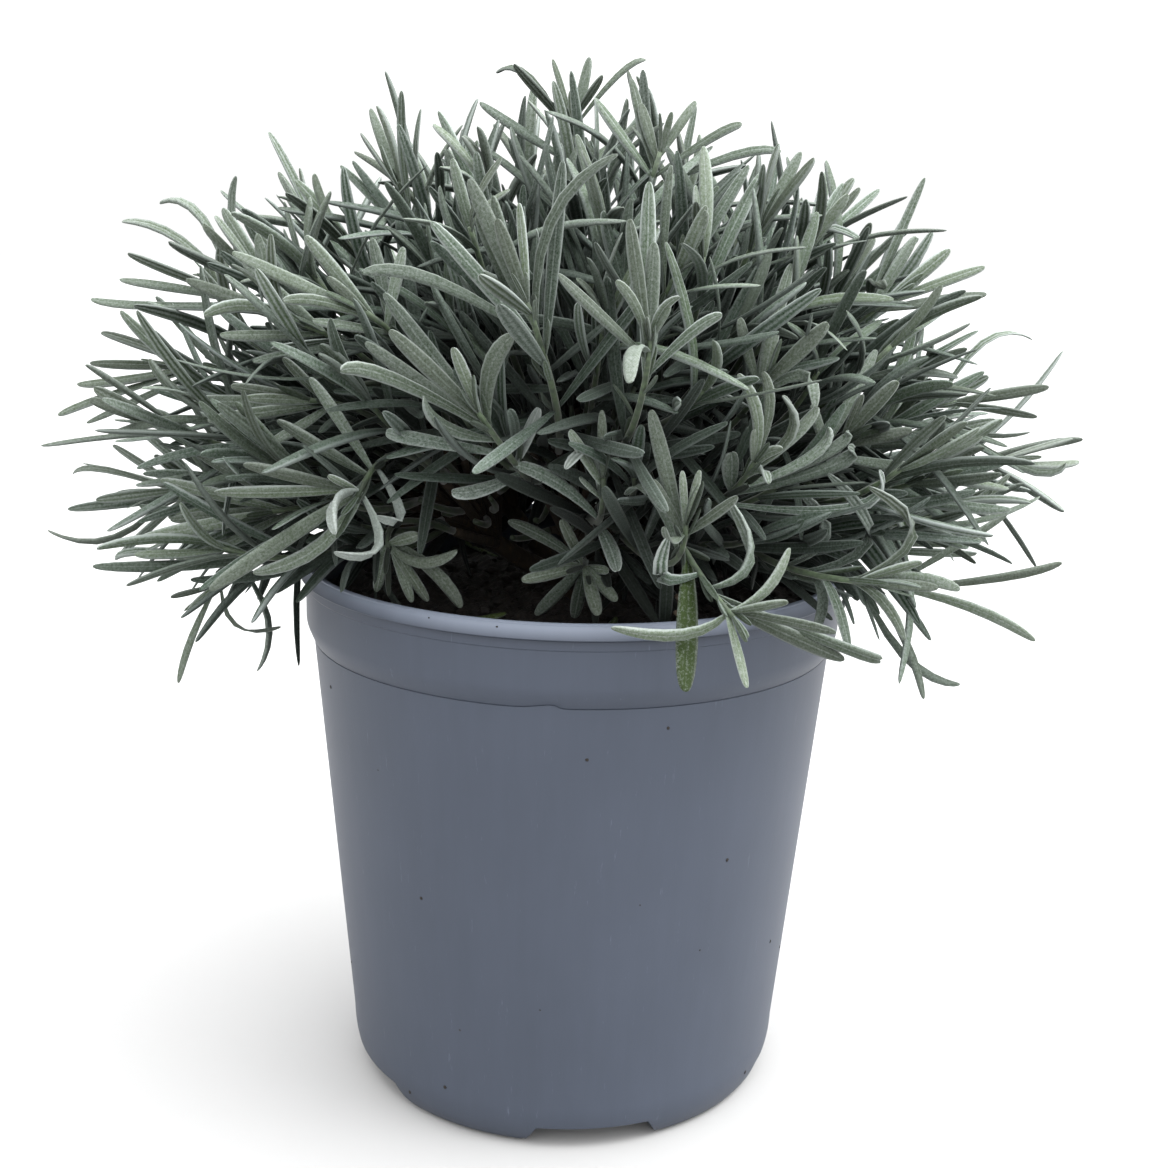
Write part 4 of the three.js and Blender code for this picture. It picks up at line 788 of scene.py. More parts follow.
def grow(shoots, limbs, bars, ease=1.0):
    """Gives each shoot its limb, twig and stem, bowed up as far as it takes to keep clear."""
    for shoot in shoots:
        out = unit(shoot.tip - DOME_CENTRE)
        shoot.limb = max(limbs, key=lambda limb: limb.way @ out)
        for rise in range(0, MOST_BOW, BOW_STEP):
            shoot.twig, shoot.stem = carried(shoot, shoot.limb, shoot.bow + rise)
            twig = bent_line(*shoot.twig, TWIG_STEPS)
            shoot.line = bent_line(*shoot.stem, STEM_STEPS)
            if (
                clear_of_pot(twig, TWIG_RADIUS)
                and clear_of_pot(shoot.line, STEM_RADIUS)
                and bars.free(WOOD, twig, TWIG_RADIUS, ease)
                and bars.free(shoot.key, shoot.line, STEM_RADIUS, ease)
            ):
                break
        bars.add(WOOD, twig, TWIG_RADIUS)
        bars.add(shoot.key, shoot.line, STEM_RADIUS)


def down_stem(stem, depth):
    """A place and the way the stem runs there, a given depth down from its tip."""
    left = depth
    for i in range(len(stem) - 1, 0, -1):
        along = stem[i] - stem[i - 1]
        length = np.linalg.norm(along)
        along = along / length
        if left < length:
            return stem[i] - along * left, along
        left -= length
    return None


def shade_by_depth(points):
    """Painted shade by depth in the plant: 0 at its skin and 1 where little light comes."""
    off = np.abs(points - DOME_CENTRE) / (DOME_SIZES + SKIN_DEPTH)
    out = np.sum(off**DOME_POWER, -1) ** (1 / DOME_POWER)
    return np.clip((SHADE_START - out) / SHADE_REACH, 0, 1)


# Leaves


def new_leaf(keys, at, way, face, **rest):
    """A leaf with its root, the way it goes, its upper face, and the habits that it draws."""
    habits = {
        "tone": draw(*keys, FOR.tone),
        "roll": draw(*keys, FOR.roll),
        "stripe": draw(*keys, FOR.stripe),
        "twist": 0.0,
        "broad": 1.0,
        "felt": 0.0,
        "yellow": 0.0,
    }
    return SimpleNamespace(at=at, way=way, face=face, **{**habits, **rest})


def leaf_line(leaf):
    """The middle line of a leaf, from its root to its tip."""
    share = np.array((0.0, *leaf.stations, 1.0))[:, None]
    return leaf.at + leaf.length * (leaf.way * share + leaf.curl * share**2)


def leaf_axes(shoot, along, pair, side, stray, angle):
    """The way and the face of a leaf, a quarter round the stem from the pair above it."""
    turn = math.radians(360 * draw(shoot.key, FOR.first_turn) + 90 * pair + 180 * side + stray)
    tilt = math.radians(angle)
    across, over = cross_axes(along)
    outward = across * math.cos(turn) + over * math.sin(turn)
    way = along * math.cos(tilt) + outward * math.sin(tilt)
    return way, unit(along - way * (along @ way))


def drawn_leaf(shoot, pair, side, attempt):
    """One leaf of the rule, or None where the stem is too short for its pair."""
    keys = (shoot.key, pair, side, attempt)
    filling = shoot.key >= FILL_KEY
    seat = down_stem(shoot.line, PAIR_DEPTHS[pair])
    if seat is None:
        return None
    at, along = seat
    looser = 1 + attempt / LEAF_TRIES
    angle = (FILL_ANGLES if filling else PAIR_ANGLES)[pair]
    angle += looser * spread(TILT_STRAY, *keys, FOR.tilt)
    stray = looser * spread(TURN_STRAY, *keys, FOR.turn)
    way, face = leaf_axes(shoot, along, pair, side, stray, angle)
    bend, droop = (FILL_BEND, FILL_DROOP) if filling else (LEAF_BEND, LEAF_DROOP)
    curl = face * (spread(bend, *keys, FOR.bend) - droop)
    if filling:
        curl = curl + np.cross(face, way) * spread(FILL_SWERVE, *keys, FOR.swerve)
    width = FILL_WIDTH if filling else LEAF_WIDTH
    return new_leaf(
        keys,
        at,
        way,
        face,
        curl=curl,
        twist=math.radians(spread(TWIST_STRAY, *keys, FOR.twist)),
        length=LEAF_LENGTHS[pair] * (1 + spread(LENGTH_STRAY, *keys, FOR.length)),
        width=width * (1 + spread(WIDTH_STRAY, *keys, FOR.width)),
        stations=LEAF_STATIONS if pair else YOUNG_STATIONS,
        # Deeper shoots' leaves are older and darker, partly as painted shade, and painted shade darkens
        # them by depth
        age=min(1, pair / (len(PAIR_DEPTHS) - 1) + DEEP_AGE_AND_SHADE * shoot.depth),
        depths=shade_by_depth(np.array((at, at + way * LEAF_LENGTHS[pair]))),
    )


def small_leaves(shoot):
    """The bud leaves at a shoot's tip and the young ones in its leaves' angles."""
    seats = [BUD_SEAT] + [
        (PAIR_DEPTHS[pair] + AXIL_DROP, PAIR_ANGLES[pair] * AXIL_SHARE, pair)
        for pair in AXIL_PAIRS
    ]
    made = []
    for (number, (down, angle, pair)), side in product(enumerate(seats), (0, 1)):
        keys = (shoot.key, SMALL_KEY + number, side)
        seat = down_stem(shoot.line, down)
        if seat is None or draw(*keys, FOR.first_turn) > SMALL_CHANCE:
            continue
        at, along = seat
        stray = spread(SMALL_STRAY, *keys, FOR.turn)
        way, face = leaf_axes(shoot, along, pair, side, stray, angle)
        leaf = new_leaf(
            keys,
            at,
            way,
            face,
            curl=face * spread(SMALL_BEND, *keys, FOR.bend),
            length=SMALL_LENGTH * (1 + spread(SMALL_LENGTH_STRAY, *keys, FOR.length)),
            width=SMALL_WIDTH * (1 + spread(SMALL_WIDTH_STRAY, *keys, FOR.width)),
            age=SMALL_AGE,
            # Painted shade by the depth of the leaf's seat in the plant
            depths=np.repeat(shade_by_depth(at[None]), 2),
        )
        made.append(leaf)
    return made


def leaf_in_view(shoot, number, x, y, nearer, down, width, middle_x=None, middle_y=None):
    """One listed leaf, bent through its middle where that has a place of its own."""
    at, along = down_stem(shoot.line, down)
    tip = sight(x, y, at[1] - nearer)
    elbow = (at + tip) / 2
    if middle_x:
        elbow = 2 * sight(middle_x, middle_y, at[1] - nearer / 2) - elbow
    length = 2 * np.linalg.norm(elbow - at)
    way = unit(elbow - at)
    face = unit(along - way * (along @ way))
    viewer = CAMERA_PLACE - at
    viewer = unit(viewer - way * (viewer @ way))
    face = unit(face + viewer * (FACE_SHARE if face @ viewer > 0 else -FACE_SHARE))
    curl = (at + tip - 2 * elbow) / length
    if not middle_x:
        curl = curl + face * (spread(VIEWED_BEND, shoot.key, number, FOR.bend) - LEAF_DROOP)
    look = {
        "curl": curl,
        "length": length,
        "width": width,
        "stations": YOUNG_STATIONS if length < YOUNG_LENGTH else LEAF_STATIONS,
        "age": min(1, down / PAIR_DEPTHS[-1] * VIEWED_AGEING),
        # Painted shade at the leaf's root, none at its tip
        "depths": (VIEWED_SHADE, 0.0),
        **ODD_LEAVES.get((shoot.key - PLACED_KEY, number), {}),
    }
    return new_leaf((shoot.key, number), at, way, face, **look)


def fits(shoot, leaf, bars, ease=1.0):
    """Whether a leaf keeps clear of other shoots, of the pot, and of where no filling goes."""
    line = leaf_line(leaf)
    return (
        bars.free(shoot.key, line, leaf.width / 2, ease)
        and clear_of_pot(line, leaf.width / 2)
        and not (shoot.key >= FILL_KEY and beyond(line, FRONT_ROOM))
        and not (ease < 1 and in_hollow(line))
    )


def hold(shoot, leaf, bars):
    """Gives a shoot a leaf, and marks the room that it takes."""
    bars.add(shoot.key, leaf_line(leaf), leaf.width / 2)
    shoot.leaves.append(leaf)


def hold_in_view(shoots, bars, every):
    """Gives shoots their leaves in view, and sets aside those that meet another shoot."""
    for shoot in shoots:
        for number, values in enumerate(shoot.in_view):
            leaf = leaf_in_view(shoot, number, *values)
            if every or fits(shoot, leaf, bars):
                hold(shoot, leaf, bars)
            else:
                shoot.aside.append(leaf)


def choose_leaves(shoots, bars, pairs, tries, ease=1.0):
    """Gives every shoot the first leaf of each seat's tries that keeps clear of all else."""
    for shoot, pair, side in product(shoots, pairs, (0, 1)):
        for attempt in range(2 * tries):
            leaf = drawn_leaf(shoot, pair, side, attempt % tries)
            if leaf is None:
                break
            if attempt >= tries:
                leaf.length *= SHORTENED
            if fits(shoot, leaf, bars, ease):
                hold(shoot, leaf, bars)
                break


def grow_plant():
    """The whole plant as lines and leaves: its limbs, the shoots of the solids and the filling."""
    bars = Bars()
    limbs = make_limbs()
    shoots = solid_shoots()
    for limb in limbs:
        bars.add(WOOD, bent_line(*limb.ends, LIMB_STEPS), LIMB_RADIUS)
    grow(shoots, limbs, bars)
    in_view = [shoot for shoot in shoots if shoot.in_view]
    ruled = [shoot for shoot in shoots if not shoot.in_view]
    hold_in_view(in_view, bars, every=False)
    choose_leaves(ruled, bars, range(SOLID_PAIRS), LEAF_TRIES)
    for shoot in in_view:
        for leaf in shoot.aside:
            hold(shoot, leaf, bars)
    between = shoots_in_view(SHOOTS_BETWEEN, BETWEEN_KEY)
    filling = filling_shoots(shoots + between)
    grow(between + filling, limbs, bars, FILL_EASE)
    hold_in_view(between, bars, every=True)
    pairs = range(len(PAIR_DEPTHS))
    last, lower = pairs[SOLID_PAIRS - 1 : SOLID_PAIRS], pairs[SOLID_PAIRS:]
    for group, theirs in ((in_view, last), (shoots, lower), (filling, pairs)):
        choose_leaves(group, bars, theirs, FILL_TRIES, FILL_EASE)
    for shoot in shoots + between:
        shoot.leaves += small_leaves(shoot)
    return SimpleNamespace(limbs=limbs, shoots=shoots, filling=filling + between)


# Meshes


def skin(n, k, j, base=0):
    """Faces over N stacks of K rings of J points each, and over the two ends of each stack."""
    side = np.arange(j)
    stack = base + np.arange(n)[:, None, None] * (k * j)
    ring = stack + np.arange(k - 1)[None, :, None] * j
    here = ring + side
    beside = ring + (side + 1) % j
    quads = np.stack((here, beside, beside + j, here + j), -1).reshape(-1, 4)
    stack = stack[:, 0]
    return quads, stack + side[::-1], stack + (k - 1) * j + side


def mesh_from(name, points, face_blocks, slots=None):
    """A smooth mesh from points in millimetres and blocks of faces with equal numbers of corners."""
    mesh = bpy.data.meshes.new(name)
    points = points.reshape(-1, 3) * MM
    corners = np.hstack([block.ravel() for block in face_blocks])
    sizes = np.hstack([np.full(len(block), block.shape[1]) for block in face_blocks])
    starts = np.hstack(((0,), np.cumsum(sizes)[:-1]))
    mesh.vertices.add(len(points))
    mesh.vertices.foreach_set("co", points.astype(np.float32).ravel())
    mesh.loops.add(len(corners))
    mesh.loops.foreach_set("vertex_index", corners.astype(np.int32))
    mesh.polygons.add(len(sizes))
    mesh.polygons.foreach_set("loop_start", starts.astype(np.int32))
    if slots is not None:
        mesh.polygons.foreach_set("material_index", slots.astype(np.int32))
    mesh.polygons.foreach_set("use_smooth", np.ones(len(sizes), bool))
    mesh.update(calc_edges=True)
    mesh.validate()
    return mesh


def add_object(name, data):
    made = bpy.data.objects.new(name, data)
    bpy.context.scene.collection.objects.link(made)
    return made


def add_turned(name, rings):
    """An object skinned over rings of points, from the middle of its underside to its top."""
    return add_object(name, mesh_from(name, rings, skin(1, *rings.shape[:2])))


def seat(piece, slot, *nodes):
    """Rides the piece on the plant's one body and hides the imported nodes that it stands for."""
    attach(piece, "root")
    if nodes:
        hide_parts(*nodes)


class Growth:
    """Collects the rings and faces of leaves, stems and twigs for one mesh."""

    def __init__(self):
        self.points, self.faces, self.slots = [], [], []
        # Marks that the looks read: the blade's shape; the age, the tone and the painted shade; and the
        # coat
        self.marks = {"blade": [], "life": [], "coat": []}
        self.count = 0

    def add(self, rings, slot, **marks):
        """Skins stacks of rings, with three values a point for each mark that the looks read."""
        shape = rings.shape[:3]
        for block in skin(*shape, self.count):
            self.faces.append(block)
            self.slots.append(np.full(len(block), slot))
        self.points.append(rings.reshape(-1, 3))
        for name, kept in self.marks.items():
            values = [np.broadcast_to(value, shape) for value in marks.get(name, (0.0, 0.0, 0.0))]
            kept.append(np.stack(values, -1).reshape(-1, 3))
        self.count += len(self.points[-1])

    def leaves(self, leaves, slot=0):
        """Blades with a grooved top, rolled margins and a raised midrib underneath."""
        if not leaves:
            return

        def column(name):
            """One property of all the leaves, shaped to go with their stations."""
            values = np.array([getattr(leaf, name) for leaf in leaves], float)
            return values.reshape(len(leaves), 1, -1)

        at, way, face, curl = (column(name) for name in ("at", "way", "face", "curl"))
        t = BLADE_STATIONS[None, :, None]
        middle = at + column("length") * (way * t + curl * t**2)
        along = units(way + 2 * t * curl)
        side = np.cross(face, way)
        flat = units(side - along * np.sum(side * along, 2, keepdims=True))
        top = np.cross(along, flat)
        turn = column("twist") * t
        flat, top = (flat * np.cos(turn) + top * np.sin(turn), top * np.cos(turn) - flat * np.sin(turn))
        half = column("width") * column("broad") / 2 * BLADE_SLIM * BLADE_SHARES[None, :, None]
        roll = 1 + ROLL_SHARE * (2 * column("roll") - 1)
        rings = (
            middle[:, :, None]
            + flat[:, :, None] * (half * BLADE_ACROSS)[..., None]
            + top[:, :, None] * (half * BLADE_HEIGHT * roll)[..., None]
        )
        # Painted shade from each leaf's root to its tip
        root, tip = np.split(column("depths"), 2, -1)
        blade = (BLADE_ACROSS, BLADE_TOP, 0.0)
        life = (column("age"), column("tone"), root + (tip - root) * t)
        coat = [column(name) for name in ("stripe", "felt", "yellow")]
        self.add(rings, slot, blade=blade, life=life, coat=coat)

    def tube(self, ends, radii, mesh, slot, square=0.0):
        """A tapered tube along a bent line, with its numbers of steps and of sides."""
        steps, sides = mesh
        line = bent_line(*ends, steps)
        turns = around(sides, 0.5)
        swell = 1 + square * np.cos(4 * turns)
        rings = []
        for point, way, radius in zip(line, np.gradient(line, axis=0), np.linspace(*radii, len(line))):
            across, over = cross_axes(unit(way))
            ring = np.outer(np.cos(turns) * swell, across) + np.outer(np.sin(turns) * swell, over)
            rings.append(point + radius * ring)
        # Painted shade by the depth inside the plant
        life = (0.0, 0.0, shade_by_depth(line)[None, :, None])
        self.add(np.array(rings)[None], slot, life=life)

    def crumb(self, centre, radius, key, slot=0, flat=1.0, up=(0, 0, 1)):
        """A small lump with an uneven skin, flattened along its upward direction."""
        up = np.array(up, float)
        across, over = cross_axes(up)
        turns = around(CRUMB_SIDES, draw(key, FOR.turn))
        ring = np.outer(np.cos(turns), across) + np.outer(np.sin(turns), over)
        rings = []
        for level, (height, share) in enumerate(CRUMB_RINGS):
            uneven = [1 + spread(CRUMB_STRAY, key, level, side) for side in range(CRUMB_SIDES)]
            out = radius * share * np.array(uneven)[:, None]
            rings.append(centre + ring * out + up * height * radius * flat)
        self.add(np.array(rings)[None], slot)

    def build(self, name, materials):
        """Makes the mesh object."""
        mesh = mesh_from(name, np.vstack(self.points), self.faces, np.hstack(self.slots))
        for label, values in self.marks.items():
            made = mesh.attributes.new(label, "FLOAT_VECTOR", "POINT")
            made.data.foreach_set("vector", np.vstack(values).astype(np.float32).ravel())
        for material in materials:
            mesh.materials.append(material)
        return add_object(name, mesh)


# Materials


def linear(code):
    """A linear colour from an sRGB hex value."""
    parts = [int(code[i : i + 2], 16) / 255 for i in (1, 3, 5)]
    return (*(c / 12.92 if c <= 0.04045 else ((c + 0.055) / 1.055) ** 2.4 for c in parts), 1.0)


def ramp(*stops):
    """Ramp stops from places and sRGB hex values, or shares of plain grey."""
    return [
        (place, linear(shade) if isinstance(shade, str) else (shade, shade, shade, 1.0))
        for place, shade in stops
    ]


def add_node(tree, kind, inputs=None, stops=(), **settings):
    """Adds a node with its settings and ramp stops, and gives its inputs a value or a link."""
    made = tree.nodes.new(kind)
    for name, value in settings.items():
        setattr(made, name, value)
    for socket, value in (inputs or {}).items():
        if isinstance(value, bpy.types.NodeSocket):
            tree.links.new(value, made.inputs[socket])
        else:
            made.inputs[socket].default_value = value
    for n, (position, colour) in enumerate(stops):
        elements = made.color_ramp.elements
        element = elements[n] if n < len(elements) else elements.new(position)
        element.position, element.color = position, colour
    return made


def new_material(name):
    """A material without nodes, its tree, and the place in the object that its patterns follow."""
    material = bpy.data.materials.new(name)
    material.use_nodes = True
    tree = material.node_tree
    tree.nodes.clear()
    place = add_node(tree, "ShaderNodeTexCoord").outputs["Object"]
    return material, tree, place


def finish_material(tree, shader):
    add_node(tree, "ShaderNodeOutputMaterial", {"Surface": shader.outputs[0]})


def mark(tree, name):
    """The three values of one of the marks that the plant's meshes hold."""
    read = add_node(tree, "ShaderNodeAttribute", attribute_name=name)
    return add_node(tree, "ShaderNodeSeparateXYZ", {0: read.outputs["Vector"]}).outputs


# Sockets of the node that mixes two colours: the share of the second, both, and the mix
FACTOR, SIDE_A, SIDE_B, MIXED = 0, 6, 7, 2

# How each tone, felt and stripe that a leaf draws shows, and how dark and rich painted shade
# makes the plant inside
DEEP_RICHNESS = (1.05, 2.1)
LEAF_FLOOR = 0.08
STEM_FLOOR = 0.2
BARK_FLOOR = 0.18
TONES = (0.5, 1.5)
FELT_SHARES = (0.5, 1.2)
STRIPE_SHARES = (0.2, 0.9)
PLAIN_GREY = (0.42, 0.42, 0.42, 1.0)

# Sizes in mm of what each surface is made of. A lavender's hairs are some 0.05 mm across and
# too fine to show, so the felt is drawn in tufts as coarse as they need to be.
FELT_TUFT = 0.75
FELT_NAP = 0.45
STEM_FIBRE = 2.0
BARK_FIBRE = 1.6
PEAT_CRUMB = 2.2
MOULD_CLOUD = 40.0
MOULD_STREAK = 5.0
MOULD_GRAIN = 0.8
SCUFF = 1.7


def shaded(tree, depth, colour, floor):
    """Painted shade: a colour that darkens and grows richer deeper inside the plant, down to a share of
    itself.
    """
    share, richness = (
        add_node(tree, "ShaderNodeMapRange", {"Value": depth, "To Min": low, "To Max": high}).outputs[0]
        for low, high in ((1.0, floor), DEEP_RICHNESS)
    )
    darker = {"Color": colour, "Value": share, "Saturation": richness}
    return add_node(tree, "ShaderNodeHueSaturation", darker).outputs[0]


def felted_leaf(settings):
    """Lavender leaf, felted with fine white hairs.

    It shows a matt grey bloom over green, pale on the margins and the midrib, with painted shade deeper in
    the plant.
    """
    material, tree, place = new_material("felted_lavender_leaf")
    across, top, _ = mark(tree, "blade")
    # The leaf's age and tone, and how much painted shade it gets
    age, tone, depth = mark(tree, "life")
    stripe, felt, yellow = mark(tree, "coat")
    mottle = add_node(
        tree,
        "ShaderNodeTexNoise",
        {"Scale": 1 / (FELT_TUFT * MM), "Detail": 4.0, "Roughness": 0.8, "Vector": place},
    )
    nap = add_node(
        tree,
        "ShaderNodeTexNoise",
        {"Scale": 1 / (FELT_NAP * MM), "Detail": 3.0, "Roughness": 0.7, "Vector": place},
    )
    aged = add_node(
        tree,
        "ShaderNodeValToRGB",
        {0: age},
        ramp((0.0, settings.young_leaf), (0.4, settings.grown_leaf), (1.0, settings.old_leaf)),
    )
    toned, share, strength = (
        add_node(tree, "ShaderNodeMapRange", {"Value": value, "To Min": low, "To Max": high}).outputs[0]
        for value, (low, high) in ((tone, TONES), (tone, FELT_SHARES), (stripe, STRIPE_SHARES))
    )
    green = add_node(tree, "ShaderNodeHueSaturation", {"Color": aged.outputs[0], "Value": toned})
    off_rib = add_node(tree, "ShaderNodeMath", {0: across}, operation="ABSOLUTE").outputs[0]
    upper = add_node(
        tree,
        "ShaderNodeValToRGB",
        {0: off_rib},
        ramp((0.0, 0.62), (0.07, 0.55), (0.17, 0.2), (0.45, 0.34), (0.76, 0.3), (0.9, 1.0)),
    )
    under = add_node(
        tree,
        "ShaderNodeValToRGB",
        {0: off_rib},
        ramp((0.0, 0.75), (0.14, 0.55), (0.3, 0.15), (0.5, 0.2), (0.72, 0.9)),
    )
    striped = add_node(
        tree,
        "ShaderNodeMix",
        {FACTOR: top, SIDE_A: under.outputs[0], SIDE_B: upper.outputs[0]},
        data_type="RGBA",
    )
    marked = add_node(
        tree,
        "ShaderNodeMix",
        {FACTOR: strength, SIDE_A: PLAIN_GREY, SIDE_B: striped.outputs[MIXED]},
        data_type="RGBA",
    )
    tufts = add_node(
        tree,
        "ShaderNodeMapRange",
        {"Value": mottle.outputs["Fac"], "From Min": 0.22, "From Max": 0.78},
    )
    hairs = add_node(
        tree,
        "ShaderNodeMix",
        {FACTOR: 1.0, SIDE_A: marked.outputs[MIXED], SIDE_B: tufts.outputs[0]},
        data_type="RGBA",
        blend_type="OVERLAY",
    )
    cover = add_node(
        tree,
        "ShaderNodeMapRange",
        {"Value": hairs.outputs[MIXED], "From Min": 0.1, "From Max": 0.95, "To Max": 0.9},
    )
    thick = add_node(
        tree,
        "ShaderNodeMath",
        {0: cover.outputs[0], 1: share, 2: felt},
        operation="MULTIPLY_ADD",
        use_clamp=True,
    )
    yellowed = add_node(
        tree,
        "ShaderNodeMix",
        {FACTOR: yellow, SIDE_A: green.outputs[0], SIDE_B: linear(settings.yellow_leaf)},
        data_type="RGBA",
    )
    felted = add_node(
        tree,
        "ShaderNodeMix",
        {FACTOR: thick.outputs[0], SIDE_A: yellowed.outputs[MIXED], SIDE_B: linear(settings.felt)},
        data_type="RGBA",
    )
    bump = add_node(
        tree,
        "ShaderNodeBump",
        {"Strength": 0.4, "Distance": 0.25 * MM, "Height": nap.outputs["Fac"]},
    )
    shader = add_node(
        tree,
        "ShaderNodeBsdfPrincipled",
        {
            "Base Color": shaded(tree, depth, felted.outputs[MIXED], LEAF_FLOOR),
            "Roughness": 0.75,
            "IOR": 1.4,
            "Specular IOR Level": 0.2,
            "Sheen Weight": 0.2,
            "Sheen Roughness": 0.5,
            "Sheen Tint": linear(settings.felt),
            "Normal": bump.outputs[0],
        },
    )
    finish_material(tree, shader)
    return material


def grained(name, size, grain, stops, relief, finish, floor=None, stretch=1.0):
    """A matt material whose colour and relief follow one grain of a real size in mm.

    The relief is a strength and a depth in mm. A floor is how dark painted shade makes what stands inside
    the plant.
    """
    material, tree, place = new_material(name)
    stretched = add_node(tree, "ShaderNodeMapping", {"Scale": (1.0, 1.0, stretch), "Vector": place})
    noise = add_node(
        tree,
        "ShaderNodeTexNoise",
        {"Scale": 1 / (size * MM), "Vector": stretched.outputs[0], **grain},
    ).outputs["Fac"]
    colour = add_node(tree, "ShaderNodeValToRGB", {0: noise}, ramp(*stops)).outputs[0]
    # Painted shade for what stands inside the plant
    if floor is not None:
        colour = shaded(tree, mark(tree, "life")[2], colour, floor)
    strength, deep = relief
    bump = add_node(
        tree, "ShaderNodeBump", {"Strength": strength, "Distance": deep * MM, "Height": noise}
    )
    shader = add_node(
        tree,
        "ShaderNodeBsdfPrincipled",
        {"Base Color": colour, "Normal": bump.outputs[0], **finish},
    )
    finish_material(tree, shader)
    return material


def green_stem(settings):
    """Young lavender stem, square and thinly felted: yellower and a little glossier than a leaf."""
    return grained(
        "green_lavender_stem",
        STEM_FIBRE,
        {"Detail": 3.0},
        ((0.35, settings.stem_shade), (0.65, settings.stem)),
        relief=(0.3, 0.2),
        finish={"Roughness": 0.65, "Sheen Weight": 0.15},
        floor=STEM_FLOOR,
    )


def grey_bark(settings):
    """Bark of an old lavender stem, split lengthways: dry, matt, grey over brown."""
    return grained(
        "split_lavender_bark",
        BARK_FIBRE,
        {"Detail": 6.0, "Roughness": 0.7},
        ((0.3, settings.bark_crack), (0.55, settings.bark), (0.75, settings.bark_ridge)),
        relief=(0.8, 0.6),
        finish={"Roughness": 0.9},
        floor=BARK_FLOOR,
        stretch=0.25,
    )


def moist_peat(settings):
    """Milled peat, moist: nearly black crumbs, with a few brown fibres and a faint damp gloss."""
    return grained(
        "moist_milled_peat",
        PEAT_CRUMB,
        {"Detail": 8.0, "Roughness": 0.75},
        ((0.35, settings.peat_shade), (0.6, settings.peat), (0.78, settings.peat_fibre)),
        relief=(1.0, 1.0),
        finish={"Roughness": 0.85},
    )


def moulded_polypropylene(settings):
    """Polypropylene, injection moulded and used.

    It shows an even slate grey with a soft satin shine, pale scuffs and a painted highlight on the lip.
    """
    material, tree, place = new_material("moulded_polypropylene")
    drawn_down = add_node(tree, "ShaderNodeMapping", {"Scale": (1.0, 1.0, 0.08), "Vector": place})
    clouds, grain, streaks, scuffs = (
        add_node(
            tree,
            "ShaderNodeTexNoise",
            {"Scale": 1 / (size * MM), "Detail": detail, "Roughness": rough, "Vector": vector},
        )
        for size, detail, rough, vector in (
            (MOULD_CLOUD, 3.0, 0.5, place),
            (MOULD_GRAIN, 3.0, 0.6, place),
            (MOULD_STREAK, 5.0, 0.6, drawn_down.outputs[0]),
            (SCUFF, 4.0, 0.75, drawn_down.outputs[0]),
        )
    )
    mixed = add_node(
        tree,
        "ShaderNodeMix",
        {FACTOR: 0.5, SIDE_A: clouds.outputs["Color"], SIDE_B: streaks.outputs["Color"]},
        data_type="RGBA",
    )
    colour = add_node(
        tree,
        "ShaderNodeValToRGB",
        {0: mixed.outputs[MIXED]},
        ramp((0.3, settings.pot_shade), (0.7, settings.pot_colour)),
    )
    scuffed = add_node(
        tree,
        "ShaderNodeMapRange",
        {"Value": scuffs.outputs["Fac"], "From Min": 0.65, "From Max": 0.8, "To Max": 0.32},
    )
    # Painted highlight: the lip's band is drawn paler, towards the colour of the scuffs
    height = add_node(tree, "ShaderNodeSeparateXYZ", {0: place}).outputs[2]
    lip = add_node(
        tree,
        "ShaderNodeMapRange",
        {
            "Value": height,
            "From Min": (POT_HEIGHT - LIP_HEIGHT) * MM,
            "From Max": (POT_HEIGHT - LIP_HEIGHT / 3) * MM,
            "To Max": 0.55,
        },
    )
    # Paler where scuffed, which is real wear, and on the lip, which is a painted highlight
    pale = add_node(
        tree, "ShaderNodeMath", {0: scuffed.outputs[0], 1: lip.outputs[0]}, operation="MAXIMUM"
    )
    worn_and_highlit = add_node(
        tree,
        "ShaderNodeMix",
        {FACTOR: pale.outputs[0], SIDE_A: colour.outputs[0], SIDE_B: linear(settings.pot_wear_and_highlight)},
        data_type="RGBA",
    )
    bump = add_node(
        tree,
        "ShaderNodeBump",
        {"Strength": 0.12, "Distance": 0.15 * MM, "Height": grain.outputs["Fac"]},
    )
    shader = add_node(
        tree,
        "ShaderNodeBsdfPrincipled",
        {
            "Base Color": worn_and_highlit.outputs[MIXED],
            "Roughness": 0.48,
            "IOR": 1.49,
            "Specular IOR Level": 0.32,
            "Normal": bump.outputs[0],
        },
    )
    finish_material(tree, shader)
    return material


def painted_floor(settings):
    """Studio floor: plain, pale and matt, so that it only catches the soft shadow."""
    material, tree, _ = new_material("painted_studio_floor")
    shader = add_node(
        tree,
        "ShaderNodeBsdfPrincipled",
        {"Base Color": linear(settings.floor_colour), "Roughness": 0.9},
    )
    finish_material(tree, shader)
    return material


# Pot


def stepped(radius, height, steps):
    """Outline points at small steps out and up from one place."""
    return [(radius + out, height + up) for out, up in steps]


def lip_arc():
    """The rounded inner edge of the lip's top, up to its crown."""
    inwards, down = LIP_ARC
    turns = np.radians(np.linspace(*LIP_ARC_TURNS, LIP_ARC_POINTS))
    steps = np.column_stack((np.cos(turns), np.sin(turns))) * LIP_ARC_RADIUS
    return stepped(RIM_RADIUS - inwards, POT_HEIGHT - down, steps)


def corner_radius(z):
    """The radius of the rounded corner at a height."""
    rise = np.clip(1 - z / CORNER_HEIGHT, 0, 1)
    return WALL_BOTTOM_RADIUS - (WALL_BOTTOM_RADIUS - FOOT_RADIUS) * (1 - np.sqrt(1 - rise**2))


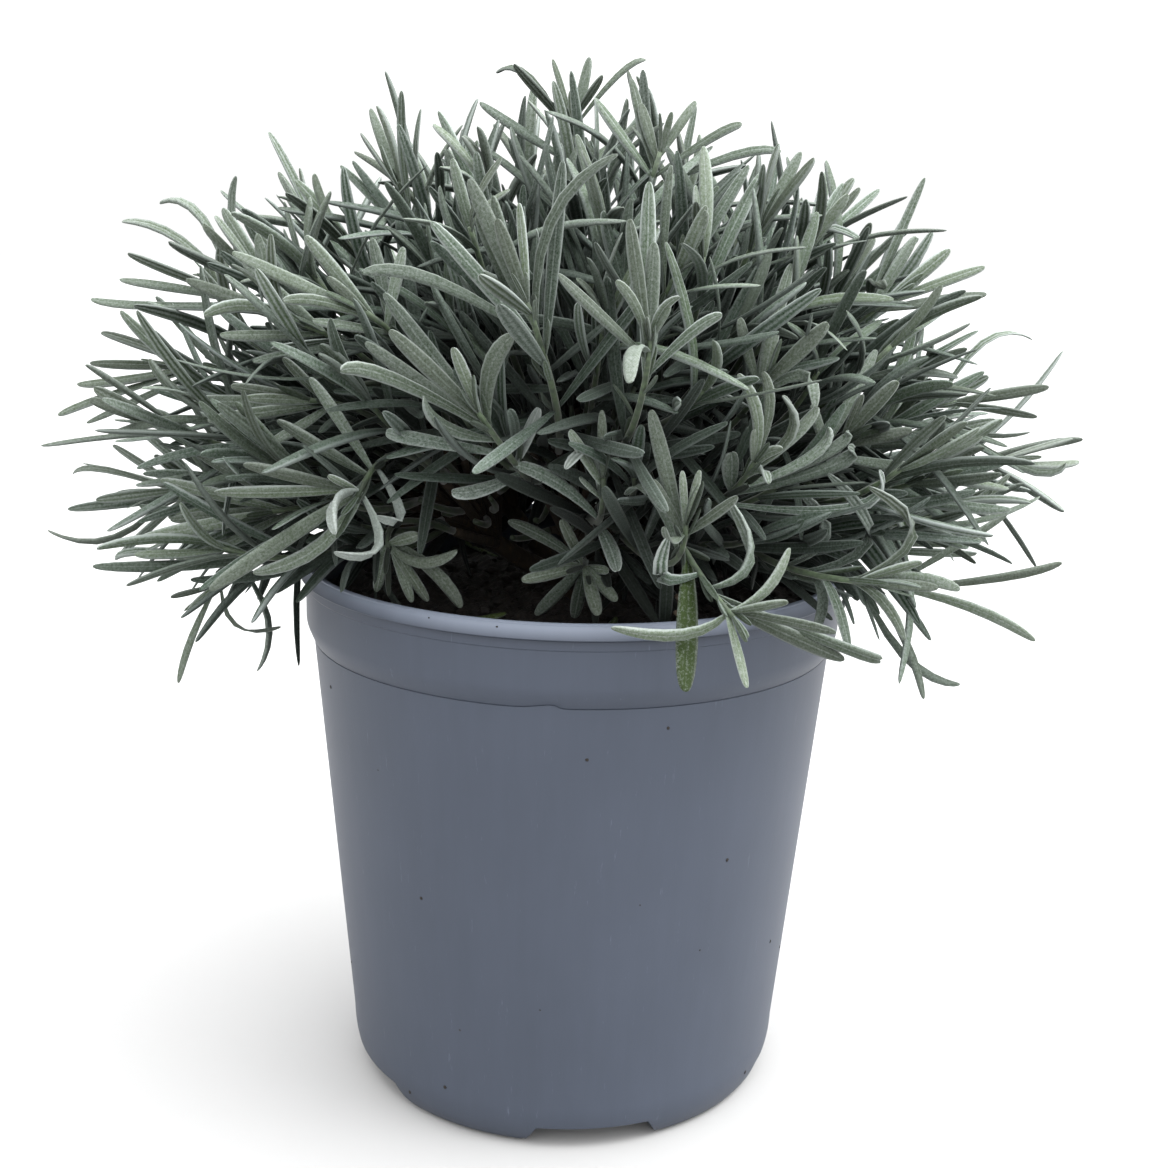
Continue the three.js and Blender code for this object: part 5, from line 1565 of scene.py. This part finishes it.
def pot_profile():
    """The pot's outline: its underside, and from the foot round the lip to the floor's middle."""
    collar_bottom = POT_HEIGHT - COLLAR_HEIGHT
    shoulder_top = collar_bottom + SHOULDER_HEIGHT
    lip_bottom = POT_HEIGHT - LIP_HEIGHT
    foot = FOOT_RADIUS - FOOT_WIDTH
    wall_rise = collar_bottom - CORNER_HEIGHT
    flare = WALL_TOP_RADIUS - WALL_BOTTOM_RADIUS
    hole = DRAIN_HOLE_PLACE - DRAIN_HOLE_ROOM
    under = [
        (FLOOR_MIDDLE, FLOOR_UNDERSIDE),
        (hole, FLOOR_UNDERSIDE),
        (foot - FOOT_BEVEL, FLOOR_UNDERSIDE),
        (foot - FOOT_BEVEL * 0.5, FLOOR_UNDERSIDE / 2),
        (foot, FOOT_EDGE),
        (foot + FOOT_EDGE, 0),
        (FOOT_RADIUS - FOOT_EDGE, 0),
    ]
    corner = [(corner_radius(z), z) for z in np.linspace(0, CORNER_HEIGHT, CORNER_RINGS)]
    wall = [
        (WALL_BOTTOM_RADIUS + flare * s, CORNER_HEIGHT + wall_rise * s)
        for s in np.linspace(1 / WALL_RINGS, 1, WALL_RINGS)
    ]
    outside = [
        *stepped(WALL_TOP_RADIUS, collar_bottom, CREASE_STEPS),
        *stepped(WALL_TOP_RADIUS, shoulder_top, (SHOULDER_SWELL,)),
        *stepped(COLLAR_BOTTOM_RADIUS, shoulder_top, SHOULDER_STEPS),
        *stepped(COLLAR_RADIUS, POT_HEIGHT - BAND_DROP, BAND_STEPS),
        *stepped(COLLAR_RADIUS, lip_bottom, UNDER_LIP_STEPS),
        *stepped(RIM_RADIUS, lip_bottom, LIP_BOTTOM_STEPS),
        *stepped(RIM_RADIUS, POT_HEIGHT, LIP_TOP_STEPS),
        *lip_arc(),
        *stepped(LIP_INNER_RADIUS, POT_HEIGHT - LIP_SLOPE, LIP_INNER_STEPS),
    ]
    inside = [
        (COLLAR_INNER_RADIUS, shoulder_top),
        (WALL_TOP_RADIUS - WALL_THICKNESS, collar_bottom),
        (WALL_BOTTOM_RADIUS - WALL_THICKNESS, CORNER_HEIGHT),
        (INNER_CORNER_RADIUS, FLOOR_TOP),
        (INNER_CORNER_RADIUS - FLOOR_EDGE, FLOOR_TOP),
        (DRAIN_HOLE_PLACE + DRAIN_HOLE_ROOM, FLOOR_TOP),
        (hole, FLOOR_TOP),
        (FLOOR_MIDDLE, FLOOR_TOP),
    ]
    return np.array(under), np.array(corner + wall + outside + inside)


def notch_rise(azimuths):
    """How high the foot is cut away at each azimuth from the front."""
    pitch = 360 / NOTCH_COUNT
    turn = (np.degrees(azimuths) - FIRST_NOTCH_TURN + pitch / 2) % pitch - pitch / 2
    off = np.abs(FOOT_RADIUS * np.sin(np.radians(turn)))
    slope = (NOTCH_HALF_WIDTH + NOTCH_SLOPE - off) / NOTCH_SLOPE
    return np.clip(slope, 0, 1) * NOTCH_HEIGHT


def crease_kink(azimuths):
    """A small rise in the crease under the shoulder, a flaw of the mould."""
    turn = (np.degrees(azimuths) - KINK_TURN + 180) % 360 - 180
    spreads = np.where(turn < 0, *KINK_SPREADS)
    return KINK_HEIGHT * np.exp(-((turn / spreads) ** 2))


def make_pot(settings):
    under, outer = pot_profile()
    profile = np.vstack((under, outer))
    azimuths = around(POT_SIDES)
    radius, height = (np.repeat(profile[:, n : n + 1], POT_SIDES, 1) for n in (0, 1))
    low = (height < FLOOR_UNDERSIDE) & (radius > FOOT_RADIUS - FOOT_WIDTH - FOOT_BEVEL)
    lifted = height + notch_rise(azimuths) * (1 - height / FLOOR_UNDERSIDE)
    outside = low & (np.arange(len(profile)) >= len(under))[:, None]
    radius = np.where(outside, corner_radius(lifted), radius)
    height = np.where(low, lifted, height)
    at_crease = np.abs(height - POT_HEIGHT + COLLAR_HEIGHT) < KINK_BAND
    height = height + crease_kink(azimuths) * at_crease
    rings = np.stack((radius * np.sin(azimuths), -radius * np.cos(azimuths), height), -1)
    pot = add_turned("nursery_pot", rings)
    for n in range(NOTCH_COUNT):
        drill(pot, FIRST_NOTCH_TURN + n * 360 / NOTCH_COUNT)
    pot.data.set_sharp_from_angle(angle=math.radians(SHARP_FROM))
    pot.data.materials.append(moulded_polypropylene(settings))
    seat(pot, "pot_plastic", "pot")


def drill(pot, azimuth):
    """Cuts one drainage hole through the pot's floor."""
    turns = around(DRAIN_HOLE_SIDES)
    ring = np.column_stack((np.cos(turns), np.sin(turns), 0 * turns)) * DRAIN_HOLE_RADIUS
    ring = ring + DRAIN_HOLE_PLACE * dome_way(azimuth, 0)
    ends = [ring + (0, 0, z) for z in (FLOOR_UNDERSIDE - DRILL_REACH, FLOOR_TOP + DRILL_REACH)]
    cutter = add_turned("drill", np.array(ends))
    cut = pot.modifiers.new("drain", "BOOLEAN")
    cut.object, cut.operation, cut.solver = cutter, "DIFFERENCE", "EXACT"
    ready = pot.evaluated_get(bpy.context.evaluated_depsgraph_get())
    holed = bpy.data.meshes.new_from_object(ready)
    pot.modifiers.clear()
    pot.data = holed
    bpy.data.objects.remove(cutter)


def wall_radius(z):
    """The pot's outer radius at a height, from the foot to the lip."""
    outer = pot_profile()[1]
    outer = outer[: np.argmax(outer[:, 1]) + 1]
    return np.interp(z, outer[:, 1], outer[:, 0])


def on_pot(x, y):
    """The point of the pot's wall that a pixel of the photograph shows."""
    ray = np.array([sight(x, y, behind) for behind in np.linspace(-RIM_RADIUS, 0, SIGHT_STEPS)])
    inside = np.hypot(ray[:, 0], ray[:, 1]) <= wall_radius(ray[:, 2])
    return ray[np.argmax(inside)]


# Soil


def soil_height(x, y):
    """How high the soil's surface stands, with its broad lumps and its crumble."""
    lumps = 0
    for along, across, share in (BROAD_LUMPS, FINE_LUMPS):
        lumps = lumps + share * np.sin(x * along + 1) * np.cos(y * across + x * along)
    crumble = 0
    for n, length in enumerate(CRUMBLE_WAVES):
        turn = CRUMBLE_TURN * n
        u = x * math.cos(turn) + y * math.sin(turn)
        v = y * math.cos(turn) - x * math.sin(turn)
        wave = np.sin(u * CRUMBLE_WAVE / length + 2 * np.sin(v / length))
        crumble = crumble + length * CRUMBLE_HEIGHT * wave
    return SOIL_LEVEL + SOIL_LUMP_HEIGHT * lumps + crumble * CRUMBLE_SHARE


def make_soil(settings):
    edge = COLLAR_INNER_RADIUS - SOIL_CLEARANCE
    x, y = np.cos(around(SOIL_SIDES)), np.sin(around(SOIL_SIDES))
    radii = np.linspace(SOIL_MIDDLE, edge, SOIL_RINGS)[::-1, None]
    top = np.stack((radii * x, radii * y, soil_height(radii * x, radii * y)), -1)
    body = (
        (SOIL_MIDDLE, FLOOR_TOP + SOIL_CLEARANCE),
        (INNER_CORNER_RADIUS - SOIL_CLEARANCE, FLOOR_TOP + SOIL_CLEARANCE),
        (WALL_BOTTOM_RADIUS - WALL_THICKNESS - SOIL_CLEARANCE, CORNER_HEIGHT),
        (WALL_TOP_RADIUS - WALL_THICKNESS - SOIL_CLEARANCE, POT_HEIGHT - COLLAR_HEIGHT),
        (edge, POT_HEIGHT - COLLAR_HEIGHT + SHOULDER_HEIGHT),
    )
    rings = [np.stack((r * x, r * y, np.full(SOIL_SIDES, h)), -1) for r, h in body]
    soil = add_turned("potting_soil", np.vstack((rings, top)))
    soil.data.materials.append(shared_material("moist_milled_peat", moist_peat, settings))
    seat(soil, "peat", "soil")


def make_litter(settings):
    """Loose crumbs of peat, fallen leaves and a dry twig on the soil."""
    litter = Growth()
    edge = COLLAR_INNER_RADIUS - LITTER_EDGE
    for n in range(CRUMB_COUNT):
        key = CRUMB_KEY + n
        azimuth = n * math.radians(GOLDEN_TURN)
        out = edge * math.sqrt((n + 1) / CRUMB_COUNT)
        x, y = out * math.cos(azimuth), out * math.sin(azimuth)
        radius = CRUMB_RADIUS * (CRUMB_LEAST + draw(key, FOR.length) ** 2)
        centre = np.array((x, y, soil_height(x, y) + radius * CRUMB_RISE))
        litter.crumb(centre, radius, key, flat=LITTER_FLAT)
    fallen = []
    for n, (x, y, turn) in enumerate(FALLEN_LEAVES):
        at = np.array((x, y, soil_height(x, y) + FALLEN_RISE))
        turn = math.radians(turn)
        way = unit(np.array((math.cos(turn), math.sin(turn), FALLEN_SLOPE)))
        look = {"curl": np.array(FALLEN_CURL), **FALLEN_SIZE, **FALLEN_LOOK}
        fallen.append(new_leaf((CRUMB_KEY, n), at, way, np.array((0, 0, 1.0)), **look))
    litter.leaves(fallen, 1)
    top = sight(*DRY_TWIG_TOP)
    x, y = (top + DRY_TWIG_FOOT)[:2]
    low = np.array((x, y, soil_height(x, y) + DRY_TWIG_FOOT[2]))
    ends = (low, (low + top) / 2 + DRY_TWIG_BEND, top)
    litter.tube(ends, DRY_TWIG_RADII, DRY_TWIG_MESH, 2)
    knots, apart, radius = DRY_KNOTS
    for n in range(knots):
        litter.crumb(top - (0, 0, apart * n), radius, CRUMB_KEY - n - 1, 2)
    leaf, _, bark = foliage_materials()
    peat = shared_material("moist_milled_peat", moist_peat, settings)
    seat(litter.build("soil_litter", (peat, leaf, bark)), "peat")


def make_specks(settings):
    """Specks of dried peat that stick to the pot's wall."""
    specks = Growth()
    for n, (x, y, radius) in enumerate(SPECKS_IN_VIEW):
        centre = on_pot(x, y)
        specks.crumb(centre, radius, SPECK_KEY + n, flat=SPECK_FLAT, up=unit(centre * (1, 1, 0)))
    first_azimuth, azimuths = SPECK_AZIMUTHS
    lowest, heights = SPECK_HEIGHTS
    least, more = SPECK_RADII
    for n in range(SPECKS_BEHIND):
        key = SPECK_KEY + len(SPECKS_IN_VIEW) + n
        azimuth = first_azimuth + azimuths * (n + draw(key, FOR.azimuth)) / SPECKS_BEHIND
        out = dome_way(azimuth, 0)
        z = lowest + heights * draw(key, FOR.elevation)
        radius = least + more * draw(key, FOR.reach)
        specks.crumb(out * wall_radius(z) + (0, 0, z), radius, key, flat=SPECK_FLAT, up=out)
    peat = shared_material("moist_milled_peat", moist_peat, settings)
    seat(specks.build("pot_specks", (peat,)), "peat")


# Plant


PLANT = {}


def plant():
    """The grown plant, worked out once for all its operators."""
    if not PLANT:
        PLANT["grown"] = grow_plant()
    return PLANT["grown"]


def shared_material(name, maker, settings):
    """A material that is made once and shared by the pieces."""
    return bpy.data.materials.get(name) or maker(settings)


def foliage_materials():
    """The materials of the plant's pieces: leaf, green stem and bark."""
    settings = bpy.context.scene.lavender_plant
    return (
        shared_material("felted_lavender_leaf", felted_leaf, settings),
        shared_material("green_lavender_stem", green_stem, settings),
        shared_material("split_lavender_bark", grey_bark, settings),
    )


def make_woody_base():
    grown = plant()
    wood = Growth()
    foot = np.array((0, 0, SOIL_LEVEL - COLLAR_HOLE_DEPTH + SOIL_CLEARANCE))
    top = np.array((0, 0, ROOT_COLLAR_TOP))
    radii = (ROOT_COLLAR_RADIUS, ROOT_COLLAR_TOP_RADIUS)
    wood.tube((foot, (foot + top) / 2, top), radii, ROOT_COLLAR_MESH, 0)
    for limb in grown.limbs:
        wood.tube(limb.ends, (LIMB_RADIUS, LIMB_TIP_RADIUS), LIMB_MESH, 0)
    for shoot in grown.shoots:
        wood.tube(shoot.twig, (TWIG_RADIUS, TWIG_TIP_RADIUS), TWIG_MESH, 0)
    seat(wood.build("lavender_woody_base", foliage_materials()[2:]), "bark", "woody_base")


def make_shoots():
    for i, shoot in enumerate(plant().shoots, 1):
        green = Growth()
        green.tube(shoot.stem, GREEN_RADII, GREEN_MESH, 1, GREEN_SQUARE)
        green.leaves(shoot.leaves)
        piece = green.build(f"lavender_shoot_{i:02d}", foliage_materials())
        seat(piece, "leaf", f"leafy_shoot_{i:02d}")


def make_filling():
    for n, limb in enumerate(plant().limbs, 1):
        green = Growth()
        for shoot in plant().filling:
            if shoot.limb is limb:
                green.tube(shoot.twig, FILL_TWIG_RADII, FILL_TWIG_MESH, 2)
                green.tube(shoot.stem, FILL_STEM_RADII, FILL_STEM_MESH, 1, GREEN_SQUARE)
                green.leaves(shoot.leaves)
        if green.count:
            seat(green.build(f"filling_shoots_{n}", foliage_materials()), "leaf")


# Studio


def add_floor(settings):
    half = settings.floor_side / 2 / MM
    corners = np.array(((-half, -half, 0), (half, -half, 0), (half, half, 0), (-half, half, 0)))
    floor = add_object("studio_floor", mesh_from("studio_floor", corners, (np.arange(4)[None],)))
    floor.data.materials.append(painted_floor(settings))


def add_lights(settings):
    """Soft studio light, brighter overhead and at the right, and one large lamp."""
    world = bpy.data.worlds.new("studio_sky")
    bpy.context.scene.world = world
    world.use_nodes = True
    tree = world.node_tree
    tree.nodes.clear()
    place = add_node(tree, "ShaderNodeTexCoord").outputs["Generated"]
    right, _, up = add_node(tree, "ShaderNodeSeparateXYZ", {0: place}).outputs
    overhead = ZENITH_SHARE * settings.sky_level
    sideways = add_node(
        tree,
        "ShaderNodeMath",
        {0: right, 1: SIDE_SHARE * overhead, 2: overhead},
        operation="MULTIPLY_ADD",
    )
    strength = add_node(
        tree,
        "ShaderNodeMapRange",
        {"Value": up, "To Min": settings.sky_level, "To Max": sideways.outputs[0]},
    )
    sky = add_node(
        tree,
        "ShaderNodeBackground",
        {"Color": linear("#FFFFFF"), "Strength": strength.outputs[0]},
    )
    add_node(tree, "ShaderNodeOutputWorld", {"Surface": sky.outputs[0]})
    lamp = bpy.data.lights.new("overhead_lamp", "AREA")
    lamp.shape, lamp.size, lamp.energy = "DISK", settings.lamp_size, settings.lamp_power
    made = add_object("overhead_lamp", lamp)
    made.location = LAMP_PLACE
    made.rotation_mode = "QUATERNION"
    made.rotation_quaternion = (Vector(LAMP_AIM) - made.location).to_track_quat("-Z", "Y")


def add_camera():
    lens = bpy.data.cameras.new("photo_camera")
    lens.sensor_width = SENSOR_WIDTH
    lens.lens = PHOTO_FOCAL * SENSOR_WIDTH / PHOTO_SIDE
    lens.clip_start, lens.clip_end = CAMERA_CLIP
    camera = add_object("photo_camera", lens)
    right, up, forward = photo_axes()
    turned = Matrix((right, up, -forward)).transposed().to_4x4()
    turned.translation = Vector(CAMERA_PLACE * MM)
    camera.matrix_world = turned
    bpy.context.scene.camera = camera
    bpy.context.scene.view_settings.view_transform = "Standard"


# Settings and operators


class LavenderPlantSettings(bpy.types.PropertyGroup):
    """Colours of the plant."""

    young_leaf: bpy.props.StringProperty(
        name="Young leaf", description="Colour of a shoot's tip, as sRGB hex", default="#39432F"
    )
    grown_leaf: bpy.props.StringProperty(
        name="Grown leaf", description="Colour of a grown leaf, as sRGB hex", default="#192B17"
    )
    old_leaf: bpy.props.StringProperty(
        name="Old leaf", description="Colour of an old leaf, as sRGB hex", default="#0B1508"
    )
    yellow_leaf: bpy.props.StringProperty(
        name="Yellowed leaf", description="Colour of a yellowed leaf, as sRGB hex", default="#3F4A26"
    )
    felt: bpy.props.StringProperty(
        name="Felt", description="Colour of the white hairs, as sRGB hex", default="#8F9593"
    )
    stem: bpy.props.StringProperty(
        name="Stem", description="Colour of a green stem, as sRGB hex", default="#56624F"
    )
    stem_shade: bpy.props.StringProperty(
        name="Stem shade", description="Colour of a stem's grooves, as sRGB hex", default="#333D30"
    )
    bark: bpy.props.StringProperty(
        name="Bark", description="Colour of the woody base, as sRGB hex", default="#463C31"
    )
    bark_crack: bpy.props.StringProperty(
        name="Bark crack", description="Colour of the bark's cracks, as sRGB hex", default="#2C231B"
    )
    bark_ridge: bpy.props.StringProperty(
        name="Bark ridge", description="Colour of the bark's ridges, as sRGB hex", default="#8C7E6C"
    )


class LavenderPotSettings(bpy.types.PropertyGroup):
    """Colours and sizes of the pot, the soil and the studio."""

    pot_colour: bpy.props.StringProperty(
        name="Pot", description="Colour of the pot, as sRGB hex", default="#3B414D"
    )
    pot_shade: bpy.props.StringProperty(
        name="Pot shade", description="Colour of the pot's darker streaks, as sRGB hex", default="#353B46"
    )
    # Colour of the real scuffs, and of the painted highlight on the lip
    pot_wear_and_highlight: bpy.props.StringProperty(
        name="Pot wear", description="Colour of the lip and the scuffs, as sRGB hex", default="#79818F"
    )
    peat: bpy.props.StringProperty(
        name="Peat", description="Colour of the moist peat, as sRGB hex", default="#1F1812"
    )
    peat_shade: bpy.props.StringProperty(
        name="Peat shade", description="Colour of the hollows in the peat, as sRGB hex", default="#0B0908"
    )
    peat_fibre: bpy.props.StringProperty(
        name="Peat fibre", description="Colour of the fibres in the peat, as sRGB hex", default="#4A3A2B"
    )
    floor_colour: bpy.props.StringProperty(
        name="Floor", description="Colour of the studio floor, as sRGB hex", default="#969696"
    )
    floor_side: bpy.props.FloatProperty(
        name="Floor side", description="Length of the studio floor", default=12.0, unit="LENGTH"
    )
    sky_level: bpy.props.FloatProperty(
        name="Sky level", description="Brightness of the studio at eye level", default=1.02
    )
    lamp_power: bpy.props.FloatProperty(
        name="Lamp power", description="Power of the large lamp", default=36.0, unit="POWER"
    )
    lamp_size: bpy.props.FloatProperty(
        name="Lamp size", description="Diameter of the large lamp", default=1.0, unit="LENGTH"
    )


class LAVENDER_OT_pot(bpy.types.Operator):
    """Adds the nursery pot"""

    bl_idname = "lavender.pot"
    bl_label = "Pot"

    def execute(self, context):
        make_pot(context.scene.lavender_pot)
        return {"FINISHED"}


class LAVENDER_OT_soil(bpy.types.Operator):
    """Adds the potting soil"""

    bl_idname = "lavender.soil"
    bl_label = "Soil"

    def execute(self, context):
        make_soil(context.scene.lavender_pot)
        return {"FINISHED"}


class LAVENDER_OT_litter(bpy.types.Operator):
    """Adds the crumbs, the fallen leaves and the dry twig on the soil"""

    bl_idname = "lavender.litter"
    bl_label = "Soil litter"

    def execute(self, context):
        make_litter(context.scene.lavender_pot)
        return {"FINISHED"}


class LAVENDER_OT_specks(bpy.types.Operator):
    """Adds the specks of dried peat on the pot's wall"""

    bl_idname = "lavender.specks"
    bl_label = "Pot specks"

    def execute(self, context):
        make_specks(context.scene.lavender_pot)
        return {"FINISHED"}


class LAVENDER_OT_woody_base(bpy.types.Operator):
    """Adds the root collar, its limbs and their twigs"""

    bl_idname = "lavender.woody_base"
    bl_label = "Woody base"

    def execute(self, context):
        make_woody_base()
        return {"FINISHED"}


class LAVENDER_OT_shoots(bpy.types.Operator):
    """Adds the leafy shoots that the solids hold"""

    bl_idname = "lavender.shoots"
    bl_label = "Leafy shoots"

    def execute(self, context):
        make_shoots()
        return {"FINISHED"}


class LAVENDER_OT_filling(bpy.types.Operator):
    """Adds the shoots between those, in a piece for each limb"""

    bl_idname = "lavender.filling"
    bl_label = "Filling shoots"

    def execute(self, context):
        make_filling()
        return {"FINISHED"}


class LAVENDER_OT_stage(bpy.types.Operator):
    """Adds the floor, the lamp and the camera"""

    bl_idname = "lavender.stage"
    bl_label = "Studio"

    def execute(self, context):
        add_floor(context.scene.lavender_pot)
        add_lights(context.scene.lavender_pot)
        add_camera()
        return {"FINISHED"}


class LAVENDER_PT_panel(bpy.types.Panel):
    """Lists the pieces of the potted lavender"""

    bl_idname = "LAVENDER_PT_panel"
    bl_label = "Potted lavender"
    bl_space_type = "VIEW_3D"
    bl_region_type = "UI"
    bl_category = "Lavender"

    def draw(self, context):
        for operator in OPERATORS:
            self.layout.operator(operator.bl_idname)
        for settings in (context.scene.lavender_plant, context.scene.lavender_pot):
            for name in settings.__annotations__:
                self.layout.prop(settings, name)


OPERATORS = (
    LAVENDER_OT_pot,
    LAVENDER_OT_soil,
    LAVENDER_OT_litter,
    LAVENDER_OT_specks,
    LAVENDER_OT_woody_base,
    LAVENDER_OT_shoots,
    LAVENDER_OT_filling,
    LAVENDER_OT_stage,
)
CLASSES = (LavenderPlantSettings, LavenderPotSettings, *OPERATORS, LAVENDER_PT_panel)


def register():
    for made in CLASSES:
        bpy.utils.register_class(made)
    bpy.types.Scene.lavender_plant = bpy.props.PointerProperty(type=LavenderPlantSettings)
    bpy.types.Scene.lavender_pot = bpy.props.PointerProperty(type=LavenderPotSettings)


def unregister():
    del bpy.types.Scene.lavender_pot
    del bpy.types.Scene.lavender_plant
    for made in reversed(CLASSES):
        bpy.utils.unregister_class(made)


def main():
    register()
    for operator in OPERATORS:
        group, name = operator.bl_idname.split(".")
        getattr(getattr(bpy.ops, group), name)()


if __name__ == "__main__":
    main()
